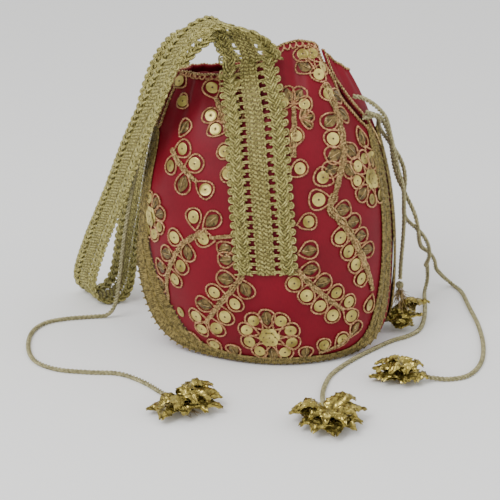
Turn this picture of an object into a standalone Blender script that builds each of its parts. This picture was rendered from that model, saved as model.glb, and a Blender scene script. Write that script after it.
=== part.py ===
"""Potli bag: a gathered satin drawstring pouch with a lace handle and four tasselled cord ends.

Run with: blender --background --python part.py
Metres, +Z up. The origin is the middle of the flat base, on the ground; the front faces -Y.
"""

import math

import bmesh
import bpy
import numpy as np
from mathutils import Vector

MM = 0.001

# Driving dimensions of the bag, in millimetres.
BAG_HEIGHT = 138.0  # height of the gathered rim
RIM_PEAK, RIM_PEAK_AT, RIM_PEAK_REACH = 17.0, 25.0, 60.0  # it stands up front right: by, at, over
# Share of the height, half width, half depth and sideways lean of the wall at that height.
PROFILE = (
    (0.000, 46.0, 41.0, 5.0),
    (0.015, 49.5, 44.0, 5.0),
    (0.050, 54.5, 47.5, 4.5),
    (0.160, 59.2, 50.5, 2.5),
    (0.340, 62.8, 52.5, -0.5),
    (0.500, 62.3, 51.5, -1.3),
    (0.620, 60.0, 48.5, -1.8),
    (0.740, 56.0, 43.5, -2.3),
    (0.840, 51.0, 36.0, -2.8),
    (0.920, 46.0, 27.0, -3.3),
    (1.000, 40.0, 15.0, -4.0),
)
FOLD_DEPTH = 2.2  # depth of the gathers at the rim
FOLDS = ((9, 0.6, 0.6), (5, -1.1, 0.4))  # waves round the bag, phase, share
LEFT_SEAM, RIGHT_SEAM = -80.0, 74.0  # degrees round from the front
SEAM_INSET = 0.45  # each panel stops this many degrees short of the seam
RIM_SEAM_PULL = 30.0  # the gathers draw the right seam forwards at the rim, degrees

GAP = 0.3
PANEL = 1.2  # satin with its backing and embroidery ground
LINING = 0.8
CASING = 0.6
LINING_DEPTH = 2.4  # the lining hangs this far inside the outer wall
DRAWSTRING_DEPTH = 5.3
CASING_DEPTH = 7.2
CORD = 2.4  # diameter of the twisted cord
BRAID_HALF, BRAID = 4.4, 1.5  # degrees for half the braid's width, and its thickness
BASE_BOARD = 1.6
SLIT_FROM = 0.82  # above this share of the height the side seams are open for the cords
SLIT_HALF = 2.6  # half width of that slit, degrees

# The panels' meshes: shares of the height, and columns of about 8 degrees each.
PANEL_ROWS = (0.0, 0.018, 0.045, 0.08, 0.12, 0.17, 0.25, 0.34, 0.44, 0.54, 0.64, 0.73, 0.8,
              0.84, 0.9, 0.95, 1.0)
FRONT_COLUMNS, BACK_COLUMNS = 19, 25
LINING_FLOOR = (8.0, 26.0, 43.5)  # half widths of the rings of the lining's floor
LINING_ROWS = (0.03, 0.1, 0.2, 0.32, 0.45, 0.58, 0.7, 0.8, 0.84, 0.92, 0.985)
LINING_COLUMNS, LINING_SLIT_ROWS = 32, 3
BASE_INSET = 2.4  # the foot stops this far inside the wall's lower edge

CASING_ROWS = (0.835, 0.88, 0.925)  # shares of the height
CASING_FRONT, CASING_BACK = (-66, 44), (86, 266)  # degrees each runs between
# Each drawstring: share of the height, and the degrees it runs between, through the slits.
LONG_DRAWSTRING = (0.905, -280, 65)
SHORT_DRAWSTRING = (0.862, 75, 276)

STRAP_WIDTH, STRAP = 31.0, 1.6
STRAP_LEAN = (-1.0, -6.5)  # the sewn strap's middle on the front: degrees at the foot, and more up
BACK_STRAP_AT = 183.0  # where it runs down the back panel, degrees
STRAP_FLAT_FROM = 0.9  # above this share it bridges the gathers
STRAP_BRIDGE = FOLD_DEPTH * 1.3
STRAP_ROWS, STRAP_LOOP_ROWS = 14, 60
STRAP_SEWN_FROM = 0.36  # lower end of the strap on each panel, as a share of the height
STRAP_SEWN_TO = 0.975
# Free part of the strap, from the front rim over the left side to the ground and back to the
# back rim: middle of the ribbon, then how far its width is turned from +X, in degrees.
STRAP_LOOP = (
    ((-10, -23.5, 148), 0), ((-12.5, -26, 155), -14), ((-16.5, -28, 161.5), -38),
    ((-22.5, -29.5, 165.5), -66), ((-29.5, -30, 166), -80), ((-37, -29, 162), -80),
    ((-44.5, -26.5, 153), -76), ((-54, -21, 134), -71), ((-67, -10, 105), -67),
    ((-80, 8, 71), -66), ((-92, 27, 41), -64), ((-100, 41, 17), -62), ((-100, 46, 6.5), -60),
    ((-94, 49, 1.2), -59), ((-86, 51.5, 2.4), -59), ((-81.5, 51, 9), -60),
    ((-79, 48.5, 20), -61), ((-76, 45, 38), -61), ((-71, 41, 64), -61), ((-66, 39, 90), -60),
    ((-59, 37, 118), -57), ((-49, 34, 138), -50), ((-37, 31, 149), -38),
    ((-25, 27, 151), -22), ((-15.5, 24, 147), -8), ((-9, 21, 140), 0),
)

# Routes of the free cord ends, from the slit in the side seam to the tassel.
CORD_LEFT = (
    (-52.8, -7, 122.5), (-57, -10.5, 116), (-61, -12.5, 107), (-65, -11, 95), (-69, -7, 79),
    (-72.5, -1, 62), (-76, 6, 42), (-79, 12, 22), (-82, 16, 8), (-87, 18, 1.6),
    (-95, 17, 1.2), (-108, 14, 1.2), (-118, 8, 1.2), (-123, -5, 1.2), (-122, -25, 1.2),
    (-116, -42, 1.2), (-104, -52, 1.2), (-88, -55.5, 1.2), (-74, -57, 1.2),
    (-63, -65, 1.2), (-54, -76, 1.2), (-47, -87, 2.0),
)
CORD_RIGHT_SIDE = (
    (38.8, -19.8, 129), (43.5, -19, 128), (50, -16, 123.5), (55.5, -11.5, 116.5),
    (58.5, -6.5, 107), (61.5, -2.5, 96), (64, 0, 86), (66.5, 1.5, 78), (67.6, 3, 68),
    (68, 4, 56), (67.7, 4.5, 45), (67.3, 5, 36), (67.2, 5, 27),
)
# The two other right-hand ends go down as a loose twisted pair, then part on the ground.
PAIR_AXIS = (
    (45, -18.3, 119.5), (49.5, -13, 117.5), (52.2, -6, 115), (54.2, 0, 111),
    (57.5, 6, 104), (61.5, 10, 95), (65, 11.5, 86), (67, 11.5, 78), (69, 11.5, 69),
    (71.5, 12.5, 60), (76, 17, 50), (81, 25, 40), (85, 36, 29), (89, 48, 18),
)
PAIR_TURNS, PAIR_POINTS = 2.6, 26
PAIR_RADIUS = (1.5, 1.5, 1.5, 1.5, 1.6, 1.8, 2.2, 2.6, 1.8, 2.6, 2.3, 1.8, 2.6, 2.6)
CORD_FRONT_END = (
    (88, 57, 7), (86, 50, 1.8), (84, 30, 1.2), (81.5, 13, 1.2), (77.5, -1, 1.2),
    (71, -9.5, 1.2), (62, -16, 1.2), (51.5, -27, 1.2), (39, -42, 1.2), (29.5, -57, 1.2),
    (25.5, -69, 1.2), (23.5, -81, 1.2), (23.2, -93, 1.5), (23.7, -102.5, 2.2),
)
CORD_FAR_END = (
    (98, 62, 7), (103, 66, 1.8), (107, 55, 1.2), (108, 32, 1.2), (109, 5, 1.2),
    (107.5, -22, 1.2), (103, -44, 1.2), (95, -59, 1.2), (85, -63.8, 1.2), (73.6, -63.6, 2.2),
)

KNOT = 2.4  # radius of the knot that stops a tassel
CORE_RADIUS, CORE_LENGTH, CORE_ROOM = 3.4, 8.0, 2.2  # and the petals stand this clear of it
# Tassel: middle of its petals, heading, half length, half width, height.
TASSELS = {
    "left": ((-41.0, -95.0), (0.60, -0.80), 18.0, 14.5, 11.0),
    "front": ((24.3, -112.0), (0.05, -1.00), 15.0, 17.0, 13.0),
    "far": ((64.0, -63.0), (-1.00, 0.06), 18.5, 10.0, 10.0),
}
SIDE_TASSEL = ((67.2, 5.0), (0.80, 0.60), 11.5, 9.0, 19.0)  # stands against the right side
PETAL_SPREAD, SIDE_SPREAD = 125.0, 92.0  # degrees either side of the heading
PETALS, NOTCH = 7, 0.20  # lobes of the outline, and how deep the notches between them are

CORD_POINTS = 3.0  # diameters between the points along a cord


def clear_scene():
    for obj in list(bpy.data.objects):
        bpy.data.objects.remove(obj, do_unlink=True)


def material(name, colour, roughness, metallic):
    made = bpy.data.materials.new(name)
    made.use_nodes = True
    shader = made.node_tree.nodes["Principled BSDF"]
    shader.inputs["Base Color"].default_value = (*colour, 1.0)
    shader.inputs["Roughness"].default_value = roughness
    shader.inputs["Metallic"].default_value = metallic
    return made


def smooth_points(points, count):
    """count points at even steps along a smooth curve through the given points."""
    given = np.array(points, float)
    ends = [2 * given[0] - given[1], *given, 2 * given[-1] - given[-2]]
    fine = []
    for a, b, c, d in zip(ends, ends[1:], ends[2:], ends[3:]):
        for u in np.linspace(0, 1, 12, endpoint=False):
            fine.append(
                0.5 * (2 * b + (c - a) * u + (2 * a - 5 * b + 4 * c - d) * u**2
                       + (3 * b - a - 3 * c + d) * u**3)
            )
    fine = np.array([*fine, given[-1]])
    run = np.append(0, np.cumsum(np.linalg.norm(np.diff(fine[:, :3], axis=0), axis=1)))
    steps = np.linspace(0, run[-1], count)
    return np.stack([np.interp(steps, run, column) for column in fine.T], axis=1)


def run_length(points):
    given = smooth_points(points, 400)[:, :3]
    return np.linalg.norm(np.diff(given, axis=0), axis=1).sum()


PROFILE_FINE = smooth_points([(t * 100, a, b, lean) for t, a, b, lean in PROFILE], 400)


def profile(share):
    """Half width, half depth and lean of the wall at this share of its height."""
    return [np.interp(share * 100, PROFILE_FINE[:, 0], PROFILE_FINE[:, k]) for k in (1, 2, 3)]


def ease(value):
    value = min(max(value, 0.0), 1.0)
    return value * value * (3 - 2 * value)


def wall(degrees, share):
    """A point of the outer wall: degrees round from the front towards the right, share of height."""
    half_width, half_depth, lean = profile(share)
    angle = math.radians(degrees)
    from_peak = abs((degrees - RIM_PEAK_AT + 180) % 360 - 180)
    peak = RIM_PEAK * ease(1 - from_peak / RIM_PEAK_REACH)
    gather = FOLD_DEPTH * ease((share - 0.55) / 0.45)
    gather *= sum(part * math.cos(count * angle + phase) for count, phase, part in FOLDS)
    return np.array([
        lean + (half_width + gather) * math.sin(angle),
        -(half_depth + gather) * math.cos(angle),
        GAP + BAG_HEIGHT * share + peak * share**3,
    ])


def wall_inside(degrees, share, depth):
    """The point this far inside the outer wall, along its normal. A negative depth is outside."""
    step = 0.004
    along = wall(degrees + 0.5, share) - wall(degrees - 0.5, share)
    up = wall(degrees, share + step) - wall(degrees, share - step)
    normal = np.cross(along, up)
    return wall(degrees, share) - depth * normal / np.linalg.norm(normal)


def right_seam(share):
    return RIGHT_SEAM - RIM_SEAM_PULL * ease((share - 0.72) / 0.28)


def add_object(name, mesh, collection, finish):
    obj = bpy.data.objects.new(name, mesh)
    collection.objects.link(obj)
    mesh.materials.append(finish)
    return obj


def mesh_from_grid(name, rows, closed_round=False, keep=None):
    """A sheet of quads through rows of points in millimetres; keep(row, column) says which stay."""
    sheet = bmesh.new()
    lines = [[sheet.verts.new(Vector(p) * MM) for p in row] for row in rows]
    columns = len(rows[0])
    for i in range(len(rows) - 1):
        for j in range(columns if closed_round else columns - 1):
            if keep is None or keep(i, j):
                k = (j + 1) % columns
                sheet.faces.new((lines[i][j], lines[i][k], lines[i + 1][k], lines[i + 1][j]))
    bmesh.ops.delete(sheet, geom=[v for v in sheet.verts if not v.link_faces], context="VERTS")
    mesh = bpy.data.meshes.new(name)
    sheet.to_mesh(mesh)
    sheet.free()
    mesh.shade_smooth()
    return mesh


def thicken(obj, thickness, offset):
    shell = obj.modifiers.new("thickness", "SOLIDIFY")
    shell.thickness = thickness * MM
    shell.offset = offset
    return obj


def round_steps(first, last, count):
    return [first + (last - first) * k / count for k in range(count + 1)]


def seam_limits(share, front, margin):
    """Where a panel starts and ends at this height, in degrees, this far in from its seams."""
    slit = SLIT_HALF if share > SLIT_FROM else 0.0
    inset = margin + slit
    if front:
        return LEFT_SEAM + inset, right_seam(share) - inset
    return right_seam(share) + inset, 360 + LEFT_SEAM - inset


def panel(name, front, collection, finish):
    rows = []
    for share in PANEL_ROWS:
        first, last = seam_limits(share, front, SEAM_INSET)
        count = FRONT_COLUMNS if front else BACK_COLUMNS
        rows.append([wall(d, share) for d in round_steps(first, last, count)])
    return thicken(add_object(name, mesh_from_grid(name, rows), collection, finish), PANEL, -1)


def border(name, front, collection, finish):
    """The braid sewn along the sides and the foot of a panel, as one U-shaped band."""
    across = BRAID_HALF
    between = FRONT_COLUMNS if front else BACK_COLUMNS
    rows = []
    for share in [s for s in PANEL_ROWS if 0 < s < SLIT_FROM]:
        first, last = seam_limits(share, front, SEAM_INSET + 0.25)
        degrees = [first, first + across, first + 2 * across]
        degrees += round_steps(first + 2 * across, last - 2 * across, between)[1:-1]
        degrees += [last - 2 * across, last - across, last]
        rows.append([wall_inside(d, share, -GAP) for d in degrees])

    def keep(row, column):
        return row < 2 or column < 2 or column >= len(rows[0]) - 3

    mesh = mesh_from_grid(name, rows, keep=keep)
    return thicken(add_object(name, mesh, collection, finish), BRAID, 1)


def base_panel(collection, finish):
    """The flat oval foot, board inside satin."""
    half_width, half_depth, lean = profile(0)
    disc = bmesh.new()
    bmesh.ops.create_cone(disc, cap_ends=True, segments=40, radius1=1, radius2=1, depth=1)
    size = Vector((half_width - BASE_INSET, half_depth - BASE_INSET, BASE_BOARD)) * MM
    bmesh.ops.scale(disc, vec=size, verts=disc.verts)
    bmesh.ops.translate(disc, vec=Vector((lean, 0, BASE_BOARD / 2)) * MM, verts=disc.verts)
    mesh = bpy.data.meshes.new("base_panel")
    disc.to_mesh(mesh)
    disc.free()
    return add_object("base_panel", mesh, collection, finish)


def lining(collection, finish):
    """The inner pouch: a cup with a flat bottom and a slit at each side for the cords."""
    columns = LINING_COLUMNS
    floor = BASE_BOARD + GAP
    half_width, half_depth, lean = profile(0)
    rows = []
    for size in LINING_FLOOR:
        depth = size * half_depth / half_width
        rows.append([
            (lean + size * math.sin(math.radians(d)), -depth * math.cos(math.radians(d)), floor)
            for d in lining_degrees(0, columns)
        ])
    for share in LINING_ROWS:
        rows.append([wall_inside(d, share, LINING_DEPTH) for d in lining_degrees(share, columns)])

    def keep(row, column):
        return row < len(rows) - LINING_SLIT_ROWS - 1 or column not in (0, columns // 2)

    mesh = mesh_from_grid("lining", rows, closed_round=True, keep=keep)
    close_hole_at(mesh, Vector((lean, 0, floor)) * MM)
    return thicken(add_object("lining", mesh, collection, finish), LINING, -1)


def lining_degrees(share, columns):
    """Degrees round the lining, with a pair of columns either side of each seam."""
    half = SLIT_HALF
    right, left = right_seam(share), 360 + LEFT_SEAM
    back = round_steps(right + half, left - half, columns // 2 - 1)
    front = round_steps(left + half, 360 + right - half, columns // 2 - 1)
    return [right - half, *back, *front][: columns + 1][:-1]


def close_hole_at(mesh, centre):
    """Fans the innermost ring of the lining's floor to its middle."""
    sheet = bmesh.new()
    sheet.from_mesh(mesh)
    reach = 9.0 * MM
    ring = [e for e in sheet.edges if e.is_boundary
            and all((v.co - centre).length < reach for v in e.verts)]
    bmesh.ops.holes_fill(sheet, edges=ring)
    bmesh.ops.recalc_face_normals(sheet, faces=sheet.faces)
    sheet.to_mesh(mesh)
    sheet.free()


def casing(name, limits, collection, finish):
    """The channel sewn inside the neck, which holds the drawstrings against the lining."""
    rows = [[wall_inside(d, share, CASING_DEPTH) for d in round_steps(*limits, 14)]
            for share in CASING_ROWS]
    return thicken(add_object(name, mesh_from_grid(name, rows), collection, finish), CASING, -1)


def tube(name, points, collection, finish):
    line = bpy.data.curves.new(name, "CURVE")
    line.dimensions = "3D"
    line.bevel_depth = CORD / 2 * MM
    line.bevel_resolution = 2
    line.use_fill_caps = True
    spline = line.splines.new("POLY")
    spline.points.add(len(points) - 1)
    for place, point in zip(spline.points, points):
        place.co = (*(Vector(point[:3]) * MM), 1)
    obj = bpy.data.objects.new(name, line)
    collection.objects.link(obj)
    line.materials.append(finish)
    return obj


def drawstring(name, place, collection, finish):
    """A drawstring inside the casing, between the lining and the channel."""
    share, first, last = place
    route = [wall_inside(d, share, DRAWSTRING_DEPTH) for d in round_steps(first, last, 34)]
    return tube(name, route, collection, finish)


def cord(name, route, collection, finish):
    count = int(run_length(route) / (CORD_POINTS * CORD)) + 2
    points = smooth_points(route, count)
    points[:, 2] = np.maximum(points[:, 2], CORD / 2)
    return tube(name, points, collection, finish)


def twisted_pair():
    """The two routes of the pair: they wind round one line at a changing distance."""
    rows = [(*p, r) for p, r in zip(PAIR_AXIS, PAIR_RADIUS)]
    last = PAIR_POINTS - 1
    axis = smooth_points(rows, PAIR_POINTS)
    first, second = [], []
    for k, (x, y, z, radius) in enumerate(axis):
        ahead = axis[min(k + 1, last), :3] - axis[max(k - 1, 0), :3]
        ahead /= np.linalg.norm(ahead)
        side = np.cross(ahead, (0, 1, 0))
        side /= np.linalg.norm(side)
        other = np.cross(ahead, side)
        turn = 2 * math.pi * PAIR_TURNS * k / last
        away = radius * (side * math.cos(turn) + other * math.sin(turn))
        first.append(np.array([x, y, z]) + away)
        second.append(np.array([x, y, z]) - away)
    return first, second


def strap_rows():
    """The ribbon, row by row: five points across each, from its left edge to its right edge."""
    across = np.linspace(-0.5, 0.5, 5) * STRAP_WIDTH
    rows = []
    for share in round_steps(STRAP_SEWN_FROM, STRAP_SEWN_TO, STRAP_ROWS):
        rows.append(sewn_row(strap_middle(share), share, across))
    for x, y, z, turn in smooth_points([(*p, turn) for p, turn in STRAP_LOOP], STRAP_LOOP_ROWS):
        wide = np.array([math.cos(math.radians(turn)), math.sin(math.radians(turn)), 0])
        rows.append([np.array([x, y, z]) + w * wide for w in across])
    for share in reversed(round_steps(STRAP_SEWN_FROM, STRAP_SEWN_TO, STRAP_ROWS)):
        rows.append(sewn_row(BACK_STRAP_AT, share, -across))
    return rows


def strap_middle(share):
    """The sewn strap leans a little to the left as it climbs the front panel."""
    return STRAP_LEAN[0] + STRAP_LEAN[1] * share**2


def sewn_row(degrees, share, across):
    """Points across the strap, lying on the panel at this height."""
    lift = -(2 * GAP + STRAP / 2)
    middle = wall(degrees, share)
    here = wall(degrees + 1, share) - wall(degrees - 1, share)
    per_degree = np.linalg.norm(here[:2]) / 2
    if share > STRAP_FLAT_FROM:
        return flat_row(middle, here, wall_inside(degrees, share, lift) - middle, across)
    return [wall_inside(degrees + w / per_degree, share, lift) for w in across]


def flat_row(middle, along, lift, across):
    """Near the rim the ribbon bridges the gathers instead of following each one."""
    direction = along / np.linalg.norm(along)
    outwards = lift / np.linalg.norm(lift)
    return [middle + lift + outwards * STRAP_BRIDGE + direction * w for w in across]


def strap(collection, finish):
    mesh = mesh_from_grid("lace_strap", strap_rows())
    return thicken(add_object("lace_strap", mesh, collection, finish), STRAP, 0)


def petals(name, middle, heading, size, spread, collection, finish):
    """The gathered foil leaves of one tassel, as a jagged fan round its thread core."""
    half_length, half_width, height = size
    inner = CORE_RADIUS + CORE_ROOM
    outline = []
    for k in range(PETALS * 4 + 1):
        angle = math.radians(spread) * (2 * k / (PETALS * 4) - 1)
        notch = 1 - NOTCH + NOTCH * abs(math.sin(math.pi * k / 4 + 0.25))
        outline.append((half_length * notch * math.cos(angle), half_width * notch * math.sin(angle)))
    for k in range(12, -1, -1):
        angle = math.radians(spread) * (2 * k / 12 - 1)
        outline.append((inner * math.cos(angle), inner * math.sin(angle)))
    shape = bpy.data.curves.new(name, "CURVE")
    shape.dimensions = "2D"
    shape.fill_mode = "BOTH"
    shape.extrude = height / 2 * MM
    line = shape.splines.new("POLY")
    line.points.add(len(outline) - 1)
    line.use_cyclic_u = True
    for place, (x, y) in zip(line.points, outline):
        place.co = (x * MM, y * MM, 0, 1)
    obj = bpy.data.objects.new(name, shape)
    collection.objects.link(obj)
    shape.materials.append(finish)
    obj.rotation_euler = (0, 0, math.atan2(heading[1], heading[0]))
    obj.location = Vector((*middle, height / 2)) * MM
    return obj


def ball(name, centre, radius, collection, finish):
    shape = bmesh.new()
    bmesh.ops.create_uvsphere(shape, u_segments=10, v_segments=6, radius=radius * MM)
    mesh = bpy.data.meshes.new(name)
    shape.to_mesh(mesh)
    shape.free()
    mesh.shade_smooth()
    obj = add_object(name, mesh, collection, finish)
    obj.location = Vector(centre) * MM
    return obj


def thread_core(name, centre, heading, collection, finish):
    """The bound threads in the middle of a tassel, tapering towards the cord."""
    shape = bmesh.new()
    bmesh.ops.create_cone(shape, cap_ends=True, segments=10, radius1=CORE_RADIUS * 0.7 * MM,
                          radius2=CORE_RADIUS * MM, depth=CORE_LENGTH * MM)
    mesh = bpy.data.meshes.new(name)
    shape.to_mesh(mesh)
    shape.free()
    mesh.shade_smooth()
    obj = add_object(name, mesh, collection, finish)
    obj.location = Vector(centre) * MM
    obj.rotation_euler = Vector(heading).to_track_quat("Z", "Y").to_euler()
    return obj


def lying_tassel(side, collection, gold, cord_finish):
    (x, y), heading, *size = TASSELS[side]
    way = Vector((*heading, 0)).normalized()
    centre = Vector((x, y, CORE_RADIUS + 0.2))
    petals(f"tassel_{side}_petals", (x, y), heading, size, PETAL_SPREAD, collection, gold)
    thread_core(f"tassel_{side}_core", centre, way, collection, cord_finish)
    back = CORE_LENGTH / 2 + KNOT + GAP
    ball(f"tassel_{side}_knot", centre - way * back - Vector((0, 0, 1.0)), KNOT, collection,
         cord_finish)


def side_tassel(collection, gold, cord_finish):
    """The tassel that stands against the bag's right side, under its own cord."""
    (x, y), heading, *size = SIDE_TASSEL
    height = size[-1]
    petals("tassel_side_petals", (x, y), heading, size, SIDE_SPREAD, collection, gold)
    core_foot = height - CORE_LENGTH + 2.0
    thread_core("tassel_side_core", (x, y, core_foot + CORE_LENGTH / 2), (0, 0, -1), collection,
                cord_finish)
    ball("tassel_side_knot", (x, y, core_foot + CORE_LENGTH + GAP + KNOT), KNOT, collection,
         cord_finish)


def bag_body(parts):
    satin = material("satin", (0.30, 0.020, 0.028), 0.42, 0.0)
    cotton = material("lining_cotton", (0.22, 0.03, 0.03), 0.8, 0.0)
    braid = material("zari_braid", (0.33, 0.22, 0.09), 0.45, 0.6)
    panel("front_panel", True, parts, satin)
    panel("back_panel", False, parts, satin)
    border("front_border", True, parts, braid)
    border("back_border", False, parts, braid)
    base_panel(parts, satin)
    lining(parts, cotton)
    casing("front_casing", CASING_FRONT, parts, cotton)
    casing("back_casing", CASING_BACK, parts, cotton)


def trimmings(parts):
    lace = material("gold_lace", (0.52, 0.47, 0.24), 0.5, 0.4)
    twist = material("gold_cord", (0.42, 0.38, 0.20), 0.5, 0.4)
    foil = material("gold_foil", (0.48, 0.37, 0.12), 0.3, 0.9)
    strap(parts, lace)
    drawstring("drawstring_long", LONG_DRAWSTRING, parts, twist)
    drawstring("drawstring_short", SHORT_DRAWSTRING, parts, twist)
    pair_front, pair_far = twisted_pair()
    cord("cord_left", CORD_LEFT, parts, twist)
    cord("cord_side", CORD_RIGHT_SIDE, parts, twist)
    cord("cord_front", [*pair_front, *CORD_FRONT_END], parts, twist)
    cord("cord_far", [*pair_far, *CORD_FAR_END], parts, twist)
    for side in TASSELS:
        lying_tassel(side, parts, foil, twist)
    side_tassel(parts, foil, twist)


def main():
    clear_scene()
    parts = bpy.data.collections.new("potli_bag")
    bpy.context.scene.collection.children.link(parts)
    bag_body(parts)
    trimmings(parts)


main()
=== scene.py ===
import math

import bpy
import bmesh
import numpy as np
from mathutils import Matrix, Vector, noise


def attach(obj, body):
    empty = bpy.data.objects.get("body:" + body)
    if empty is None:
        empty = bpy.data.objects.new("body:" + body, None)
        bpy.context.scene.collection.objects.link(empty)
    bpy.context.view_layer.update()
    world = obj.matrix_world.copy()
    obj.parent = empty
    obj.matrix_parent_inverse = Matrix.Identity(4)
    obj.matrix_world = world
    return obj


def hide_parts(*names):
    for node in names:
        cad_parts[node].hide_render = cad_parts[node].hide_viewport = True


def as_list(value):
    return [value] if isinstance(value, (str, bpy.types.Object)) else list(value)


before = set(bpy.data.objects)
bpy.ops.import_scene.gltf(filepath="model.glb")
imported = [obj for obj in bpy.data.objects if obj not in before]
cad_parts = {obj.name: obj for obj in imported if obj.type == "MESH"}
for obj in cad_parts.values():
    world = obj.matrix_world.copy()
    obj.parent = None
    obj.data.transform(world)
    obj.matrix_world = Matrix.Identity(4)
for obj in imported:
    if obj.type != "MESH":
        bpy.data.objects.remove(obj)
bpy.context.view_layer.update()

MM = 0.001


def new_object(name, data):
    """An object in the scene, from its mesh, lamp or camera."""
    made = bpy.data.objects.new(name, data)
    bpy.context.scene.collection.objects.link(made)
    return made



# %% [markdown]
# The camera stands in front of the bag and a little above it, far enough away that the round
# belly isn't stretched. A long lens does that. The bag stands on a plain pale floor. One large
# soft light from the upper left gives the satin its sheen, a second one opens the shadows, and a
# bright sky does the rest.
# %% Camera, floor and lights
CAMERA_DISTANCE, CAMERA_HEIGHT_ANGLE = 0.75, math.radians(19.0)
CAMERA_AIM = Vector((-0.0104, 0.0137, 0.0398))
camera = new_object("camera", bpy.data.cameras.new("camera"))
camera.data.lens, camera.data.sensor_width = 103.85, 36.0
away = Vector((0, -math.cos(CAMERA_HEIGHT_ANGLE), math.sin(CAMERA_HEIGHT_ANGLE)))
camera.location = CAMERA_AIM + away * CAMERA_DISTANCE
camera.rotation_euler = (-away).to_track_quat("-Z", "Y").to_euler()
bpy.context.scene.camera = camera


def plain_material(name, colour, roughness):
    made = bpy.data.materials.new(name)
    made.use_nodes = True
    shader = made.node_tree.nodes["Principled BSDF"]
    shader.inputs["Base Color"].default_value = (*colour, 1)
    shader.inputs["Roughness"].default_value = roughness
    return made


def area_light(name, place, aim, size, power):
    lamp = new_object(name, bpy.data.lights.new(name, "AREA"))
    lamp.data.size, lamp.data.energy = size, power
    lamp.location = place
    lamp.rotation_euler = (Vector(aim) - Vector(place)).to_track_quat("-Z", "Y").to_euler()


floor_mesh = bpy.data.meshes.new("floor")
floor_mesh.from_pydata([(-9, -9, 0), (9, -9, 0), (9, 9, 0), (-9, 9, 0)], [], [(0, 1, 2, 3)])
floor = new_object("floor", floor_mesh)
floor_mesh.materials.append(plain_material("pale_floor", (0.90, 0.90, 0.89), 0.9))
area_light("key_light", (-0.55, -0.75, 0.95), (0, 0, 0.06), 0.6, 10.5)
area_light("fill_light", (0.9, -0.6, 0.6), (0, 0, 0.06), 1.0, 3.0)
sky = bpy.data.worlds.new("studio")
sky.use_nodes = True
sky.node_tree.nodes["Background"].inputs["Color"].default_value = (1.0, 1.0, 1.0, 1)
sky.node_tree.nodes["Background"].inputs["Strength"].default_value = 1.1
bpy.context.scene.world = sky
print("camera at", [round(c, 3) for c in camera.location])

# %% [markdown]
# ## The rule of the wall
#
# The bag is round at the belly, narrower at its flat foot and flattened towards the gathered rim.
# A table of half widths and half depths up the height, joined by a smooth curve, gives that
# shape. Every other piece is placed on it by two numbers: degrees round from the front, towards
# the right, and share of the height. The soft hollows where the cloth sinks between the gathers
# are pressed into the same rule, so that the needlework follows them.
# %% Smooth curves through a few points
def smooth_points(points, count):
    """count points at even steps along a smooth curve through the given points."""
    given = np.array(points, float)
    ends = [2 * given[0] - given[1], *given, 2 * given[-1] - given[-2]]
    fine = []
    for a, b, c, d in zip(ends, ends[1:], ends[2:], ends[3:]):
        for u in np.linspace(0, 1, 12, endpoint=False):
            fine.append(0.5 * (2 * b + (c - a) * u + (2 * a - 5 * b + 4 * c - d) * u**2
                               + (3 * b - a - 3 * c + d) * u**3))
    fine = np.array([*fine, given[-1]])
    run = np.append(0, np.cumsum(np.linalg.norm(np.diff(fine[:, :3], axis=0), axis=1)))
    steps = np.linspace(0, run[-1], count)
    return np.stack([np.interp(steps, run, column) for column in fine.T], axis=1)


def run_length(points):
    return float(np.linalg.norm(np.diff(np.asarray(points)[:, :3], axis=0), axis=1).sum())


def ease(value):
    value = np.clip(value, 0.0, 1.0)
    return value * value * (3 - 2 * value)


# %% The wall, as a rule
BAG_HEIGHT, GAP = 138.0, 0.3
RIM_PEAK, RIM_PEAK_AT, RIM_PEAK_REACH = 17.0, 25.0, 60.0
PROFILE = ((0.000, 46.0, 41.0, 5.0), (0.015, 49.5, 44.0, 5.0), (0.050, 54.5, 47.5, 4.5),
           (0.160, 59.2, 50.5, 2.5), (0.340, 62.8, 52.5, -0.5), (0.500, 62.3, 51.5, -1.3),
           (0.620, 60.0, 48.5, -1.8), (0.740, 56.0, 43.5, -2.3), (0.840, 51.0, 36.0, -2.8),
           (0.920, 46.0, 27.0, -3.3), (1.000, 40.0, 15.0, -4.0))
FOLD_DEPTH, FOLDS = 2.2, ((9, 0.6, 0.6), (5, -1.1, 0.4))
LEFT_SEAM, RIGHT_SEAM, RIM_SEAM_PULL = -80.0, 74.0, 30.0
PROFILE_FINE = smooth_points([(t * 100, a, b, lean) for t, a, b, lean in PROFILE], 400)
# Hollows: degrees, share, how far they reach both ways, and how deep they are in millimetres.
HOLLOWS = ((17, 0.91, 6, 0.07, 2.2), (27, 0.80, 6, 0.05, 1.8), (-54, 0.90, 7, 0.07, 1.4),
           (52, 0.88, 6, 0.08, 1.2), (-30, 0.74, 8, 0.05, 0.8), (-66, 0.70, 8, 0.10, 1.0),
           (120, 0.86, 8, 0.09, 1.8), (150, 0.92, 6, 0.06, 1.6), (215, 0.85, 9, 0.08, 1.8),
           (244, 0.92, 7, 0.06, 1.5), (165, 0.70, 9, 0.06, 1.0), (40, 0.97, 4, 0.04, 0.8))


def wall(degrees, share):
    """Points of the outer wall, in millimetres."""
    degrees, share = np.broadcast_arrays(np.asarray(degrees, float), np.asarray(share, float))
    half_width, half_depth, lean = (np.interp(share * 100, PROFILE_FINE[:, 0], PROFILE_FINE[:, k])
                                    for k in (1, 2, 3))
    angle = np.radians(degrees)
    from_peak = np.abs((degrees - RIM_PEAK_AT + 180) % 360 - 180)
    peak = RIM_PEAK * ease(1 - from_peak / RIM_PEAK_REACH)
    gather = FOLD_DEPTH * ease((share - 0.55) / 0.45)
    gather = gather * sum(part * np.cos(count * angle + phase) for count, phase, part in FOLDS)
    return np.stack([lean + (half_width + gather) * np.sin(angle),
                     -(half_depth + gather) * np.cos(angle),
                     GAP + BAG_HEIGHT * share + peak * share**3], axis=-1)


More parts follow.
